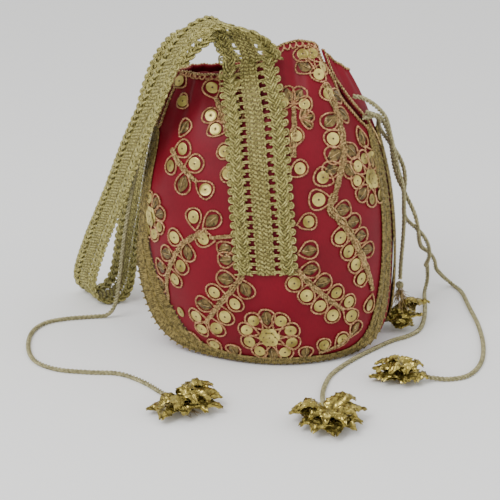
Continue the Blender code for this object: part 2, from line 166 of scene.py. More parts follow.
def outward(surface, degrees, share):
    """Unit normals of a surface rule, pointing out of the bag."""
    share = np.asarray(share, float)
    along = surface(degrees + 0.5, share) - surface(degrees - 0.5, share)
    up = surface(degrees, share + 0.004) - surface(degrees, share - 0.004)
    normal = np.cross(along, up)
    return normal / np.linalg.norm(normal, axis=-1, keepdims=True)


def hollow(degrees, share):
    """How deep the cloth has sunk here, in millimetres."""
    total = np.zeros(np.broadcast(degrees, share).shape)
    for at, high, wide, tall, deep in HOLLOWS:
        off = (degrees - at + 180) % 360 - 180
        total = total + deep * np.exp(-((off / wide) ** 2) - ((share - high) / tall) ** 2)
    gathers = 0.35 * ease((share - 0.80) / 0.2) * np.cos(np.radians(degrees) * 34 + 1.3)
    return total + gathers


def cloth(degrees, share, lift=0.0):
    """Points of the satin as it lies, this many millimetres off it."""
    degrees, share = np.broadcast_arrays(np.asarray(degrees, float), np.asarray(share, float))
    normal = outward(wall, degrees, share)
    return wall(degrees, share) + normal * (lift - hollow(degrees, share))[..., None]


def right_seam(share):
    return RIGHT_SEAM - RIM_SEAM_PULL * ease((share - 0.72) / 0.28)


print("belly", cloth(0.0, 0.34).round(1), "rim", cloth(0.0, 1.0).round(1))

# %% [markdown]
# ## Three small machines
#
# Almost all of the gold on this bag is thread, and thread repeats. Three Geometry Nodes trees
# make it. The first sweeps twisted cord along any set of lines. The second lays one drawn unit of
# lace or braid again and again along a ribbon, and turns its lines into yarn. The third sets small
# parts, such as sequins and leaves, on marked points of the cloth. Each tree ends as one plain
# mesh, which Blender can save and any other program can read.
# %% Helpers for node trees
def new_tree(name, inputs):
    """A tree with geometry in and out, and these named inputs."""
    tree = bpy.data.node_groups.new(name, "GeometryNodeTree")
    tree.interface.new_socket("Geometry", in_out="INPUT", socket_type="NodeSocketGeometry")
    tree.interface.new_socket("Geometry", in_out="OUTPUT", socket_type="NodeSocketGeometry")
    for label, kind in inputs:
        tree.interface.new_socket(label, in_out="INPUT", socket_type="NodeSocket" + kind)
    return tree, tree.nodes.new("NodeGroupInput").outputs, tree.nodes.new("NodeGroupOutput")


def step(tree, kind, joined=(), **settings):
    """A node whose inputs are joined to other nodes or set to values."""
    made = tree.nodes.new(kind)
    for name, value in settings.items():
        setattr(made, name, value)
    for name, value in dict(joined).items():
        socket = made.inputs[name]
        if isinstance(value, bpy.types.NodeSocket):
            tree.links.new(value, socket)
        else:
            socket.default_value = value
    return made.outputs


def maths(tree, operation, a, b=None):
    values = {0: a} if b is None else {0: a, 1: b}
    return step(tree, "ShaderNodeMath", values, operation=operation)[0]


def vectors(tree, operation, a, b):
    by = "Scale" if operation == "SCALE" else 1
    return step(tree, "ShaderNodeVectorMath", {0: a, by: b}, operation=operation)[0]


def carried(tree, name):
    """The vector that the mesh carries under this name."""
    return step(tree, "GeometryNodeInputNamedAttribute", {"Name": name},
                data_type="FLOAT_VECTOR")[0]


def end_tree(tree, shape, given, result, smooth=True):
    """Ends a tree: smooth if it is yarn, as plain geometry, in the given material."""
    if smooth:
        shape = step(tree, "GeometryNodeSetShadeSmooth", {"Geometry": shape})[0]
    shape = step(tree, "GeometryNodeRealizeInstances", {"Geometry": shape})[0]
    shape = step(tree, "GeometryNodeSetMaterial",
                 {"Geometry": shape, "Material": given["Material"]})[0]
    tree.links.new(shape, result.inputs["Geometry"])


def grown(name, mesh, tree, values):
    """Runs the tree on the mesh and returns a new object with the result as a plain mesh."""
    obj = new_object(name, mesh)
    modifier = obj.modifiers.new("make", "NODES")
    modifier.node_group = tree
    for item in tree.interface.items_tree:
        if item.in_out == "INPUT" and item.name in values:
            modifier[item.identifier] = values[item.name]
    graph = bpy.context.evaluated_depsgraph_get()
    graph.update()
    made = bpy.data.meshes.new_from_object(obj.evaluated_get(graph))
    obj.modifiers.clear()
    obj.data = made
    made.name = name
    return obj


def mark(mesh, **attributes):
    """Writes one value or one vector for each point of the mesh under each name."""
    for label, values in attributes.items():
        values = np.asarray(values, np.float32)
        kind = "FLOAT" if values.ndim == 1 else "FLOAT_VECTOR"
        layer = mesh.attributes.new(label, kind, "POINT")
        layer.data.foreach_set("value" if values.ndim == 1 else "vector", values.ravel())


def line_mesh(name, lines, **attributes):
    """A mesh of edges from lines of points in millimetres. Attributes hold one value a point."""
    edges, start = [], 0
    for line in lines:
        edges += [(start + k, start + k + 1) for k in range(len(line) - 1)]
        start += len(line)
    mesh = bpy.data.meshes.new(name)
    mesh.from_pydata(np.concatenate(lines) * MM, edges, [])
    mark(mesh, **attributes)
    return mesh


# %% The cord machine
cord_tree, given, result = new_tree("twisted_cord", [
    ("Strands", "Int"), ("Strand radius", "Float"), ("Reach", "Float"), ("Pitch", "Float"),
    ("Step", "Float"), ("Sides", "Int"), ("Material", "Material")])
lines = step(cord_tree, "GeometryNodeMeshToCurve", {"Mesh": given["Geometry"]})[0]
lines = step(cord_tree, "GeometryNodeResampleCurve", {"Curve": lines, "Length": given["Step"]},
             mode="LENGTH")[0]
run = step(cord_tree, "GeometryNodeSplineParameter")["Length"]
turn = maths(cord_tree, "MULTIPLY", maths(cord_tree, "DIVIDE", run, given["Pitch"]), math.tau)
lines = step(cord_tree, "GeometryNodeStoreNamedAttribute",
             {"Geometry": lines, "Name": "along", "Value": run})[0]
lines = step(cord_tree, "GeometryNodeSetCurveTilt", {"Curve": lines, "Tilt": turn})[0]
number = step(cord_tree, "GeometryNodeInputIndex")[0]
share_of_turn = maths(cord_tree, "DIVIDE", number, given["Strands"])
angle = maths(cord_tree, "MULTIPLY", share_of_turn, math.tau)
spot = step(cord_tree, "ShaderNodeCombineXYZ", {
    "X": maths(cord_tree, "MULTIPLY", maths(cord_tree, "COSINE", angle), given["Reach"]),
    "Y": maths(cord_tree, "MULTIPLY", maths(cord_tree, "SINE", angle), given["Reach"])})[0]
spots = step(cord_tree, "GeometryNodePoints", {"Count": given["Strands"], "Position": spot})[0]
ring = step(cord_tree, "GeometryNodeCurvePrimitiveCircle",
            {"Resolution": given["Sides"], "Radius": given["Strand radius"]})[0]
rings = step(cord_tree, "GeometryNodeInstanceOnPoints", {"Points": spots, "Instance": ring})[0]
rings = step(cord_tree, "GeometryNodeRealizeInstances", {"Geometry": rings})[0]
swept = step(cord_tree, "GeometryNodeCurveToMesh",
             {"Curve": lines, "Profile Curve": rings, "Fill Caps": True})[0]
end_tree(cord_tree, swept, given, result)


def twisted(name, lines, finish, strands=2, radius=0.3, pitch=2.4, step_mm=0.42, sides=5):
    """Twisted cord along each line, in millimetres, as one mesh."""
    reach = 0.0 if strands == 1 else radius * (0.92 if strands == 2 else 1.1)
    return grown(name, line_mesh(name, lines), cord_tree, {
        "Strands": strands, "Strand radius": radius * MM, "Reach": reach * MM,
        "Pitch": pitch * MM, "Step": step_mm * MM, "Sides": sides, "Material": finish})


# %% The ribbon machine
ribbon_tree, given, result = new_tree("yarn_on_a_ribbon", [
    ("Guide", "Object"), ("Repeats", "Int"), ("Period", "Float"), ("Yarn radius", "Float"),
    ("Sides", "Int"), ("Material", "Material")])
period = step(ribbon_tree, "ShaderNodeCombineXYZ", {"Y": given["Period"]})[0]
row = step(ribbon_tree, "GeometryNodeMeshLine",
           {"Count": given["Repeats"], "Offset": period}, mode="OFFSET")[0]
units = step(ribbon_tree, "GeometryNodeInstanceOnPoints",
             {"Points": row, "Instance": given["Geometry"]})[0]
units = step(ribbon_tree, "GeometryNodeRealizeInstances", {"Geometry": units})[0]
units = step(ribbon_tree, "GeometryNodeMergeByDistance",
             {"Geometry": units, "Distance": 0.00002})[0]
yarns = step(ribbon_tree, "GeometryNodeMeshToCurve", {"Mesh": units})[0]
guide = step(ribbon_tree, "GeometryNodeObjectInfo", {"Object": given["Guide"]})["Geometry"]
guide = step(ribbon_tree, "GeometryNodeMeshToCurve", {"Mesh": guide})[0]
flat = step(ribbon_tree, "GeometryNodeInputPosition")[0]
across, down, above = step(ribbon_tree, "ShaderNodeSeparateXYZ", {"Vector": flat})


def on_guide(label):
    """What the guide says at this distance along it."""
    node = ribbon_tree.nodes.new("GeometryNodeSampleCurve")
    node.mode, node.data_type = "LENGTH", "FLOAT_VECTOR"
    ribbon_tree.links.new(guide, node.inputs["Curves"])
    ribbon_tree.links.new(down, node.inputs["Length"])
    if label == "position":
        return node.outputs["Position"]
    ribbon_tree.links.new(carried(ribbon_tree, label),
                          [s for s in node.inputs if s.name == "Value" and s.enabled][0])
    return [s for s in node.outputs if s.name == "Value" and s.enabled][0]


place = vectors(ribbon_tree, "ADD", on_guide("position"),
                vectors(ribbon_tree, "SCALE", on_guide("wide"), across))
bow = vectors(ribbon_tree, "SCALE", on_guide("bow"), maths(ribbon_tree, "MULTIPLY", across, across))
place = vectors(ribbon_tree, "ADD", place, bow)
place = vectors(ribbon_tree, "ADD", place, vectors(ribbon_tree, "SCALE", on_guide("face"), above))
yarns = step(ribbon_tree, "GeometryNodeStoreNamedAttribute",
             {"Geometry": yarns, "Name": "along",
              "Value": step(ribbon_tree, "GeometryNodeSplineParameter")["Length"]})[0]
yarns = step(ribbon_tree, "GeometryNodeSetPosition", {"Geometry": yarns, "Position": place})[0]
ring = step(ribbon_tree, "GeometryNodeCurvePrimitiveCircle",
            {"Resolution": given["Sides"], "Radius": 1.0})[0]
thick = step(ribbon_tree, "GeometryNodeInputNamedAttribute", {"Name": "thick"})[0]
swept = step(ribbon_tree, "GeometryNodeCurveToMesh",
             {"Curve": yarns, "Profile Curve": ring, "Fill Caps": True,
              "Scale": maths(ribbon_tree, "MULTIPLY", thick, given["Yarn radius"])})[0]
end_tree(ribbon_tree, swept, given, result)


def laid(name, unit, period, guide, finish, yarn=0.3, sides=5):
    """The drawn unit, a list of (points, thickness), repeated along the guide as yarn."""
    middle, wide, bow, face = guide
    length = run_length(middle)
    repeats = max(1, round(length / period))
    fit = length / repeats / period
    stretched = [np.array(points) * (1, fit, 1) for points, _ in unit]
    mesh = line_mesh(name, stretched,
                     thick=np.concatenate([np.full(len(p), t) for p, t in unit]))
    helper = new_object("guide", line_mesh("guide", [middle], wide=wide, bow=bow / MM, face=face))
    obj = grown(name, mesh, ribbon_tree, {
        "Guide": helper, "Repeats": repeats, "Period": period * fit * MM,
        "Yarn radius": yarn * MM, "Sides": sides, "Material": finish})
    bpy.data.objects.remove(helper, do_unlink=True)
    return obj


# %% The setting machine
setting_tree, given, result = new_tree("set_on_points", [
    ("Unit", "Object"), ("Material", "Material")])
facing, heading, size = (carried(setting_tree, name) for name in ("facing", "heading", "size"))
turned = step(setting_tree, "FunctionNodeAxesToRotation",
              {"Primary Axis": facing, "Secondary Axis": heading},
              primary_axis="Z", secondary_axis="Y")[0]
unit = step(setting_tree, "GeometryNodeObjectInfo", {"Object": given["Unit"]})["Geometry"]
copies = step(setting_tree, "GeometryNodeInstanceOnPoints",
              {"Points": given["Geometry"], "Instance": unit, "Rotation": turned,
               "Scale": size})[0]
end_tree(setting_tree, copies, given, result, smooth=False)


def set_on(name, unit_mesh, places, finish):
    """One copy of the unit for each (point, facing, heading, size)."""
    points, facing, heading, size = (np.array([p[k] for p in places]) for k in range(4))
    mesh = bpy.data.meshes.new(name)
    mesh.from_pydata(points * MM, [], [])
    mark(mesh, facing=facing, heading=heading, size=size)
    unit_object = new_object("unit", unit_mesh)
    obj = grown(name, mesh, setting_tree, {"Unit": unit_object, "Material": finish})
    bpy.data.objects.remove(unit_object, do_unlink=True)
    return obj


print("machines:", cord_tree.name, ribbon_tree.name, setting_tree.name)

# %% [markdown]
# ## Finishes
#
# Gold thread is not plain gold. It is a thin metal strip wound round a yarn, so it glitters in
# small broken lights and turns dark between its turns. Its material mixes two tones by a fine
# noise and bumps the surface with bands along the thread. The sequins are dull gold film, the
# leaves are brown gota ribbon, and the tassels are crumpled glossy foil. The satin is a dense
# weave whose light runs across the threads.
# %% A helper for layered materials
def finish_with(name, dark, light, roughness, metallic, grain, bump, bands=None, sheen=0.0):
    """Two tones mixed by fine noise, with a bump of grain, and of bands along the thread."""
    made = bpy.data.materials.new(name)
    made.use_nodes = True
    tree = made.node_tree
    shader = tree.nodes["Principled BSDF"]
    shader.inputs["Roughness"].default_value = roughness
    shader.inputs["Metallic"].default_value = metallic
    shader.inputs["Sheen Weight"].default_value = sheen
    where = step(tree, "ShaderNodeTexCoord")["Object"]
    speckle = step(tree, "ShaderNodeTexNoise",
                   {"Vector": where, "Scale": grain, "Detail": 3.0, "Roughness": 0.6})["Fac"]
    ramp = tree.nodes.new("ShaderNodeValToRGB")
    ramp.color_ramp.elements[0].position, ramp.color_ramp.elements[1].position = 0.36, 0.64
    ramp.color_ramp.elements[0].color = (*dark, 1)
    ramp.color_ramp.elements[1].color = (*light, 1)
    tree.links.new(speckle, ramp.inputs["Fac"])
    tree.links.new(ramp.outputs["Color"], shader.inputs["Base Color"])
    height = speckle
    if bands:
        along = step(tree, "ShaderNodeAttribute", attribute_name="along")["Fac"]
        wave = maths(tree, "SINE", maths(tree, "MULTIPLY", along, math.tau / (bands * MM)))
        height = maths(tree, "ADD", speckle, maths(tree, "MULTIPLY", wave, 0.35))
    relief = step(tree, "ShaderNodeBump",
                  {"Height": height, "Strength": bump, "Distance": 0.0004})[0]
    tree.links.new(relief, shader.inputs["Normal"])
    return made


# %% The gold finishes
zari = finish_with("zari_thread", (0.12, 0.065, 0.020), (0.74, 0.53, 0.23), 0.36, 0.5,
                   900, 0.5, bands=0.7)
outline_zari = finish_with("pink_gold_thread", (0.26, 0.12, 0.045), (0.80, 0.48, 0.24), 0.38,
                           0.45, 900, 0.5, bands=0.7)
braid_gold = finish_with("braid_thread", (0.085, 0.060, 0.016), (0.37, 0.285, 0.090), 0.42, 0.5,
                         700, 0.6, bands=0.8)
lace_yarn = finish_with("lace_yarn", (0.15, 0.125, 0.030), (0.52, 0.47, 0.165), 0.38, 0.5,
                        800, 0.5, bands=0.9)
# The lace ground is darkened as painted shade, for the dark gaps between the lace yarns.
painted_lace_shade = finish_with("lace_ground_yarn", (0.075, 0.055, 0.014), (0.20, 0.16, 0.045), 0.5,
                         0.4, 900, 0.6)
dori = finish_with("pull_cord", (0.20, 0.18, 0.085), (0.50, 0.45, 0.24), 0.5, 0.3,
                   800, 0.5, bands=0.9)
sequin_film = finish_with("sequin_film", (0.20, 0.150, 0.026), (0.58, 0.48, 0.135), 0.3, 0.5,
                          95, 0.08)
gota_leaf = finish_with("gota_leaf", (0.045, 0.028, 0.010), (0.22, 0.150, 0.050), 0.3, 0.65,
                        500, 0.4)
foil = finish_with("gold_foil", (0.115, 0.085, 0.018), (0.46, 0.37, 0.095), 0.25, 0.85, 350, 0.3)


# %% Satin and lining
def satin_finish():
    made = bpy.data.materials.new("red_satin")
    made.use_nodes = True
    tree = made.node_tree
    shader = tree.nodes["Principled BSDF"]
    shader.inputs["Roughness"].default_value = 0.5
    shader.inputs["Specular IOR Level"].default_value = 0.17
    shader.inputs["Sheen Weight"].default_value = 0.06
    shader.inputs["Sheen Roughness"].default_value = 0.4
    shader.inputs["Sheen Tint"].default_value = (0.9, 0.25, 0.3, 1)
    uv = step(tree, "ShaderNodeUVMap", uv_map="weave")[0]
    where = step(tree, "ShaderNodeTexCoord")["Object"]
    cloud = step(tree, "ShaderNodeTexNoise",
                 {"Vector": where, "Scale": 38.0, "Detail": 2.0})["Fac"]
    # The warp floats on satin's face: fine lines up the cloth, broken where a thread dips.
    threads = step(tree, "ShaderNodeMapping", {"Vector": uv, "Scale": (2600.0, 420.0, 1.0)})[0]
    slub = step(tree, "ShaderNodeTexNoise", {"Vector": threads, "Scale": 1.0, "Detail": 1.0})["Fac"]
    ramp = tree.nodes.new("ShaderNodeValToRGB")
    ramp.color_ramp.elements[0].position, ramp.color_ramp.elements[1].position = 0.3, 0.72
    ramp.color_ramp.elements[0].color = (0.112, 0.0016, 0.0075, 1)
    ramp.color_ramp.elements[1].color = (0.182, 0.0027, 0.0122, 1)
    mixed = maths(tree, "ADD", maths(tree, "MULTIPLY", cloud, 0.6),
                  maths(tree, "MULTIPLY", slub, 0.4))
    tree.links.new(mixed, ramp.inputs["Fac"])
    tree.links.new(ramp.outputs["Color"], shader.inputs["Base Color"])
    relief = step(tree, "ShaderNodeBump", {"Height": slub, "Strength": 0.25, "Distance": 0.0001})[0]
    tree.links.new(relief, shader.inputs["Normal"])
    return made


red_satin = satin_finish()
cotton_weave = finish_with("cotton_weave", (0.15, 0.012, 0.016), (0.20, 0.018, 0.022), 0.85,
                            0.0, 1500, 0.3)
print("finishes:", sorted(made.name for made in bpy.data.materials))

# %% [markdown]
# ## The satin wall
#
# The outer wall is two cut pieces of satin that meet at side seams: a front and a back. Each is a
# fine sheet laid on the wall's rule, with a weave map in millimetres, and is then given the
# thickness of the cloth with its backing. Near the neck the seams stay open for the pull cords.
# %% Sheets that follow the rule
SEAM_INSET, SLIT_FROM, SLIT_HALF = 0.45, 0.82, 2.6
OFF_FLOOR = 0.25
CUT_SIZES = {}


def seam_limits(share, front):
    """The degrees between which this panel lies, at this share of the height."""
    inset = SEAM_INSET + SLIT_HALF * ease((share - SLIT_FROM + 0.02) / 0.02)
    if front:
        return LEFT_SEAM + inset, right_seam(share) - inset
    return right_seam(share) + inset, 360 + LEFT_SEAM - inset


def thicken(obj, thickness, offset):
    """Gives a sheet its thickness in millimetres: inwards for -1, to both sides for 0."""
    shell = obj.modifiers.new("thickness", "SOLIDIFY")
    shell.thickness, shell.offset = thickness * MM, offset


def sheet_object(name, points, finish, closed_round=False, thickness=0.0, offset=-1.0):
    """A grid of points in millimetres as a smooth sheet with a weave map in metres."""
    rows, columns = points.shape[:2]
    CUT_SIZES[name] = [max(map(run_length, points)), max(map(run_length, points.swapaxes(0, 1)))]
    index = np.arange(rows * columns).reshape(rows, columns)
    if closed_round:
        index = np.concatenate([index, index[:, :1]], axis=1)
    quads = np.stack([index[:-1, :-1], index[:-1, 1:], index[1:, 1:], index[1:, :-1]], axis=-1)
    mesh = bpy.data.meshes.new(name)
    mesh.from_pydata(points.reshape(-1, 3) * MM, [], quads.reshape(-1, 4).tolist())
    across = np.linalg.norm(np.diff(points, axis=1), axis=-1).mean() * np.arange(columns + 1)
    up = np.append(0, np.cumsum(np.linalg.norm(np.diff(points[:, columns // 2], axis=0), axis=1)))
    corner = quads.reshape(-1, 4)
    uv = np.stack([across[corner % columns], up[corner // columns]], axis=-1) * MM
    mesh.uv_layers.new(name="weave").data.foreach_set("uv", uv.ravel())
    mesh.shade_smooth()
    mesh.materials.append(finish)
    obj = new_object(name, mesh)
    if thickness:
        thicken(obj, thickness, offset)
    return obj


def joined(name, grids, finish, thickness):
    """Several sheets of points as one object."""
    verts, faces, start = [], [], 0
    for grid in grids:
        rows, columns = grid.shape[:2]
        grid = grid.copy()
        grid[..., 2] = np.maximum(grid[..., 2], OFF_FLOOR)
        verts.append(grid.reshape(-1, 3))
        index = start + np.arange(rows * columns).reshape(rows, columns)
        quads = np.stack([index[:-1, :-1], index[1:, :-1], index[1:, 1:], index[:-1, 1:]], -1)
        faces += quads.reshape(-1, 4).tolist()
        start += rows * columns
    mesh = bpy.data.meshes.new(name)
    mesh.from_pydata(np.concatenate(verts) * MM, [], faces)
    mesh.materials.append(finish)
    obj = new_object(name, mesh)
    thicken(obj, thickness, 0)
    return obj


def stand_for(obj, slot, *nodes):
    """The piece takes the place of these solids, which are hidden. The slot is not used."""
    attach(obj, "root")
    if nodes:
        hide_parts(*nodes)
    return obj


# %% Front and back
def satin_panel(name, front, columns):
    rows = []
    for share in np.linspace(0, 1, 92):
        first, last = seam_limits(share, front)
        rows.append(cloth(np.linspace(first, last, columns), share))
    return sheet_object(name, np.array(rows), red_satin, thickness=1.0)


front_satin = stand_for(satin_panel("front_satin", True, 86), "satin", "front_panel")
back_satin = stand_for(satin_panel("back_satin", False, 110), "satin", "back_panel")
print("satin faces:", len(front_satin.data.polygons), len(back_satin.data.polygons))

# %% [markdown]
# Inside, a cotton lining hangs a little way off the satin. A stitched channel round the neck
# holds the two drawstrings against it. The foot is a card oval covered in satin, with a piped
# edge, so that the bag can stand.
# %% Lining, channel, drawstrings and foot
LINING_DEPTH, DRAWSTRING_DEPTH, CASING_DEPTH, BASE_BOARD, BASE_INSET = 2.4, 5.3, 7.2, 1.6, 2.4
FOOT_HALF_WIDTH, FOOT_HALF_DEPTH, FOOT_MIDDLE = 46.0, 41.0, 5.0


def fill_holes(obj, below=math.inf, turn_out=False):
    """Closes the open edges that lie wholly under this height, in metres."""
    work = bmesh.new()
    work.from_mesh(obj.data)
    bmesh.ops.holes_fill(work, edges=[edge for edge in work.edges if edge.is_boundary
                                      and max(vert.co.z for vert in edge.verts) < below])
    if turn_out:
        bmesh.ops.recalc_face_normals(work, faces=work.faces)
    work.to_mesh(obj.data)
    work.free()


def lining_piece():
    degrees = np.arange(0, 360, 4.0)
    angle = np.radians(degrees)
    rows = []
    for size in np.linspace(1.0, 43.5, 10):
        rows.append(np.stack([FOOT_MIDDLE + size * np.sin(angle),
                              -size * FOOT_HALF_DEPTH / FOOT_HALF_WIDTH * np.cos(angle),
                              np.full_like(angle, BASE_BOARD + GAP + 0.2)], axis=-1))
    for share in np.linspace(0.03, 0.985, 60):
        crumple = 0.25 * np.sin(angle * 11 + share * 9) * np.sin(share * 17 + angle * 3)
        rows.append(cloth(degrees, share, -LINING_DEPTH - 0.2 + crumple * ease(share * 4)))
    return sheet_object("cotton_lining", np.array(rows), cotton_weave,
                        closed_round=True, thickness=0.6)


def channel(name, first, last):
    rows = []
    for k, share in enumerate(np.linspace(0.828, 0.93, 16)):
        arch = math.sin(math.pi * k / 15)
        bulge = 1.2 * arch - 3.6 * (1 - arch)
        rows.append(cloth(np.linspace(first, last, 90), share, -CASING_DEPTH + 0.6 - bulge))
    return sheet_object(name, np.array(rows), cotton_weave, thickness=0.5)


lining = lining_piece()
fill_holes(lining, below=0.003)
stand_for(lining, "lining_cotton", "lining")
stand_for(channel("front_channel", -64, 42), "lining_cotton", "front_casing")
stand_for(channel("back_channel", 88, 264), "lining_cotton", "back_casing")
for label, share, first, last in (("drawstring_long", 0.905, -280, 65),
                                  ("drawstring_short", 0.862, 75, 276)):
    route = cloth(np.linspace(first, last, 160), share, -DRAWSTRING_DEPTH)
    string = twisted(label + "_cord", [route], dori, strands=3, radius=0.56, pitch=6.0,
                     step_mm=0.9, sides=6)
    stand_for(string, "gold_cord", label)


def foot_piece():
    angle = np.linspace(0, math.tau, 96, endpoint=False)
    half_width, half_depth = FOOT_HALF_WIDTH - BASE_INSET, FOOT_HALF_DEPTH - BASE_INSET
    rows = []
    for inset, height in ((40.0, 0.05), (12.0, 0.05), (1.0, 0.05), (0.2, 0.3), (0.0, 0.8),
                          (0.2, 1.3), (1.0, BASE_BOARD), (12.0, BASE_BOARD), (40.0, BASE_BOARD)):
        shrink = max(0.02, 1 - inset / FOOT_HALF_DEPTH)
        rows.append(np.stack([FOOT_MIDDLE + half_width * shrink * np.sin(angle),
                              -half_depth * shrink * np.cos(angle),
                              np.full_like(angle, height)], axis=-1))
    return sheet_object("foot", np.array(rows), red_satin, closed_round=True)


foot = foot_piece()
fill_holes(foot, turn_out=True)
stand_for(foot, "satin", "base_panel")

# %% [markdown]
# ## The pull cords
#
# Two drawstrings cross the neck and come out at its sides as four ends. One falls behind the
# handle and curls out over the table on the left. Three leave on the right: one is pulled tight
# down the side of the bag, and two wind round each other before they part. Each is a three strand
# cord of 2.4 mm, so it bends softly and lies flat on the table.
# %% Routes of the cords, in millimetres
CORD = 2.4
CORD_LEFT = (
    (-52.8, -7, 122.5), (-57, -10.5, 116), (-61, -12.5, 107), (-65, -11, 95), (-69, -7, 79),
    (-72.5, -1, 62), (-76, 6, 42), (-79, 12, 22), (-82, 16, 8), (-87, 18, 1.6), (-95, 17, 1.2),
    (-108, 14, 1.2), (-118, 8, 1.2), (-123, -5, 1.2), (-122, -25, 1.2), (-116, -42, 1.2),
    (-104, -52, 1.2), (-88, -55.5, 1.2), (-74, -57, 1.2), (-63, -65, 1.2), (-54, -76, 1.2),
    (-47, -87, 2.0))
CORD_RIGHT_SIDE = (
    (38.8, -19.8, 129), (43.5, -19, 128), (50, -16, 123.5), (55.5, -11.5, 116.5),
    (58.5, -6.5, 107), (61.5, -2.5, 96), (64, 0, 86), (66.5, 1.5, 78), (67.6, 3, 68),
    (68, 4, 56), (67.7, 4.5, 45), (67.3, 5, 36), (67.2, 5, 27))
PAIR_AXIS = (
    (45, -18.3, 119.5), (49.5, -13, 117.5), (52.2, -6, 115), (54.2, 0, 111), (57.5, 6, 104),
    (61.5, 10, 95), (65, 11.5, 86), (67, 11.5, 78), (69, 11.5, 69), (71.5, 12.5, 60),
    (76, 17, 50), (81, 25, 40), (85, 36, 29), (89, 48, 18))
PAIR_TURNS, PAIR_STEPS = 2.6, 26
PAIR_RADIUS = (1.5, 1.5, 1.5, 1.5, 1.6, 1.8, 2.2, 2.6, 1.8, 2.6, 2.3, 1.8, 2.6, 2.6)
CORD_FRONT_END = (
    (88, 57, 7), (86, 50, 1.8), (84, 30, 1.2), (81.5, 13, 1.2), (77.5, -1, 1.2), (71, -9.5, 1.2),
    (62, -16, 1.2), (51.5, -27, 1.2), (39, -42, 1.2), (29.5, -57, 1.2), (25.5, -69, 1.2),
    (23.5, -81, 1.2), (23.2, -93, 1.5), (23.7, -102.5, 2.2))
CORD_FAR_END = (
    (98, 62, 7), (103, 66, 1.8), (107, 55, 1.2), (108, 32, 1.2), (109, 5, 1.2), (107.5, -22, 1.2),
    (103, -44, 1.2), (95, -59, 1.2), (85, -63.8, 1.2), (73.6, -63.6, 2.2))


def twisted_pair():
    """The two routes of the pair: they wind round one line at a changing distance."""
    axis = smooth_points([(*p, r) for p, r in zip(PAIR_AXIS, PAIR_RADIUS)], PAIR_STEPS)
    last = PAIR_STEPS - 1
    first, second = [], []
    for k, (x, y, z, radius) in enumerate(axis):
        ahead = axis[min(k + 1, last), :3] - axis[max(k - 1, 0), :3]
        ahead /= np.linalg.norm(ahead)
        side = np.cross(ahead, (0, 1, 0))
        side /= np.linalg.norm(side)
        turn = math.tau * PAIR_TURNS * k / last
        away = radius * (side * math.cos(turn) + np.cross(ahead, side) * math.sin(turn))
        first.append(np.array([x, y, z]) + away)
        second.append(np.array([x, y, z]) - away)
    return first, second


def pull_cord(name, node, route):
    """A three strand cord along the route, and the route itself."""
    points = smooth_points(route, int(run_length(smooth_points(route, 300)) / 1.6))
    points[:, 2] = np.maximum(points[:, 2], CORD / 2)
    obj = twisted(name, [points], dori, strands=3, radius=0.60, pitch=6.4, step_mm=0.8, sides=6)
    print(name, round(run_length(points)), "mm")
    return stand_for(obj, "gold_cord", node), points


pair_front, pair_far = twisted_pair()
pull_cords = {
    "left": pull_cord("pull_cord_left", "cord_left", CORD_LEFT),
    "side": pull_cord("pull_cord_side", "cord_side", CORD_RIGHT_SIDE),
    "front": pull_cord("pull_cord_front", "cord_front", [*pair_front, *CORD_FRONT_END]),
    "far": pull_cord("pull_cord_far", "cord_far", [*pair_far, *CORD_FAR_END])}

# %% [markdown]
# ## The lace handle
#
# The handle is one lace ribbon, 31 mm wide and about 64 cm long. It is sewn up the middle of the
# front, leaves at the rim, loops over the left side down to the table, and comes back to be sewn
# down the back. Knitted lace repeats every few millimetres: a plaited band near each edge with
# curled picots outside it, a ladder of bars, and a dense knitted middle. One repeat is drawn flat
# as lines, and the ribbon machine lays it along the handle's own middle line.
# %% The middle line of the handle
STRAP_WIDTH, STRAP, BACK_STRAP_AT = 31.0, 1.6, 183.0
STRAP_SEWN_FROM, STRAP_SEWN_TO = 0.36, 0.975
STRAP_BENDS_OVER, STRAP_OFF_FOLDS, STRAP_OFF_OVER = 15.0, 0.84, 0.08
HANDLE_CUTS = (0, 152, 520, 858, 999)
STRAP_LOOP = (
    ((-10, -23.5, 148), 0), ((-12.5, -26, 155), -14), ((-16.5, -28, 161.5), -38),
    ((-22.5, -29.5, 165.5), -66), ((-29.5, -30, 166), -80), ((-37, -29, 162), -80),
    ((-44.5, -26.5, 153), -76), ((-54, -21, 134), -71), ((-67, -10, 105), -67),
    ((-80, 8, 71), -66), ((-92, 27, 41), -64), ((-100, 41, 17), -62), ((-100, 46, 6.5), -60),
    ((-94, 49, 1.2), -59), ((-86, 51.5, 2.4), -59), ((-81.5, 51, 9), -60),
    ((-79, 48.5, 20), -61), ((-76, 45, 38), -61), ((-71, 41, 64), -61), ((-66, 39, 90), -60),
    ((-59, 37, 118), -57), ((-49, 34, 138), -50), ((-37, 31, 149), -38),
    ((-25, 27, 151), -22), ((-15.5, 24, 147), -8), ((-9, 21, 140), 0))


def sewn_row(degrees, share, turned):
    """Middle of the ribbon on the wall, its width's direction and its bow round the belly."""
    here = wall(degrees + 1, share) - wall(degrees - 1, share)
    per_degree = np.linalg.norm(here[:2]) / 2
    off_folds = ease((share - STRAP_OFF_FOLDS) / STRAP_OFF_OVER)
    lift = 2 * GAP + STRAP / 2 + FOLD_DEPTH * 1.3 * float(off_folds)
    edges = [degrees + turned * side * STRAP_BENDS_OVER / per_degree for side in (-1, 0, 1)]
    left, middle, right = (wall(d, share) + outward(wall, d, share) * lift for d in edges)
    wide = (right - left) / np.linalg.norm(right - left)
    bow = (left + right - 2 * middle) / (2 * STRAP_BENDS_OVER**2) * (1 - off_folds)
    return [*middle, *wide, *bow]


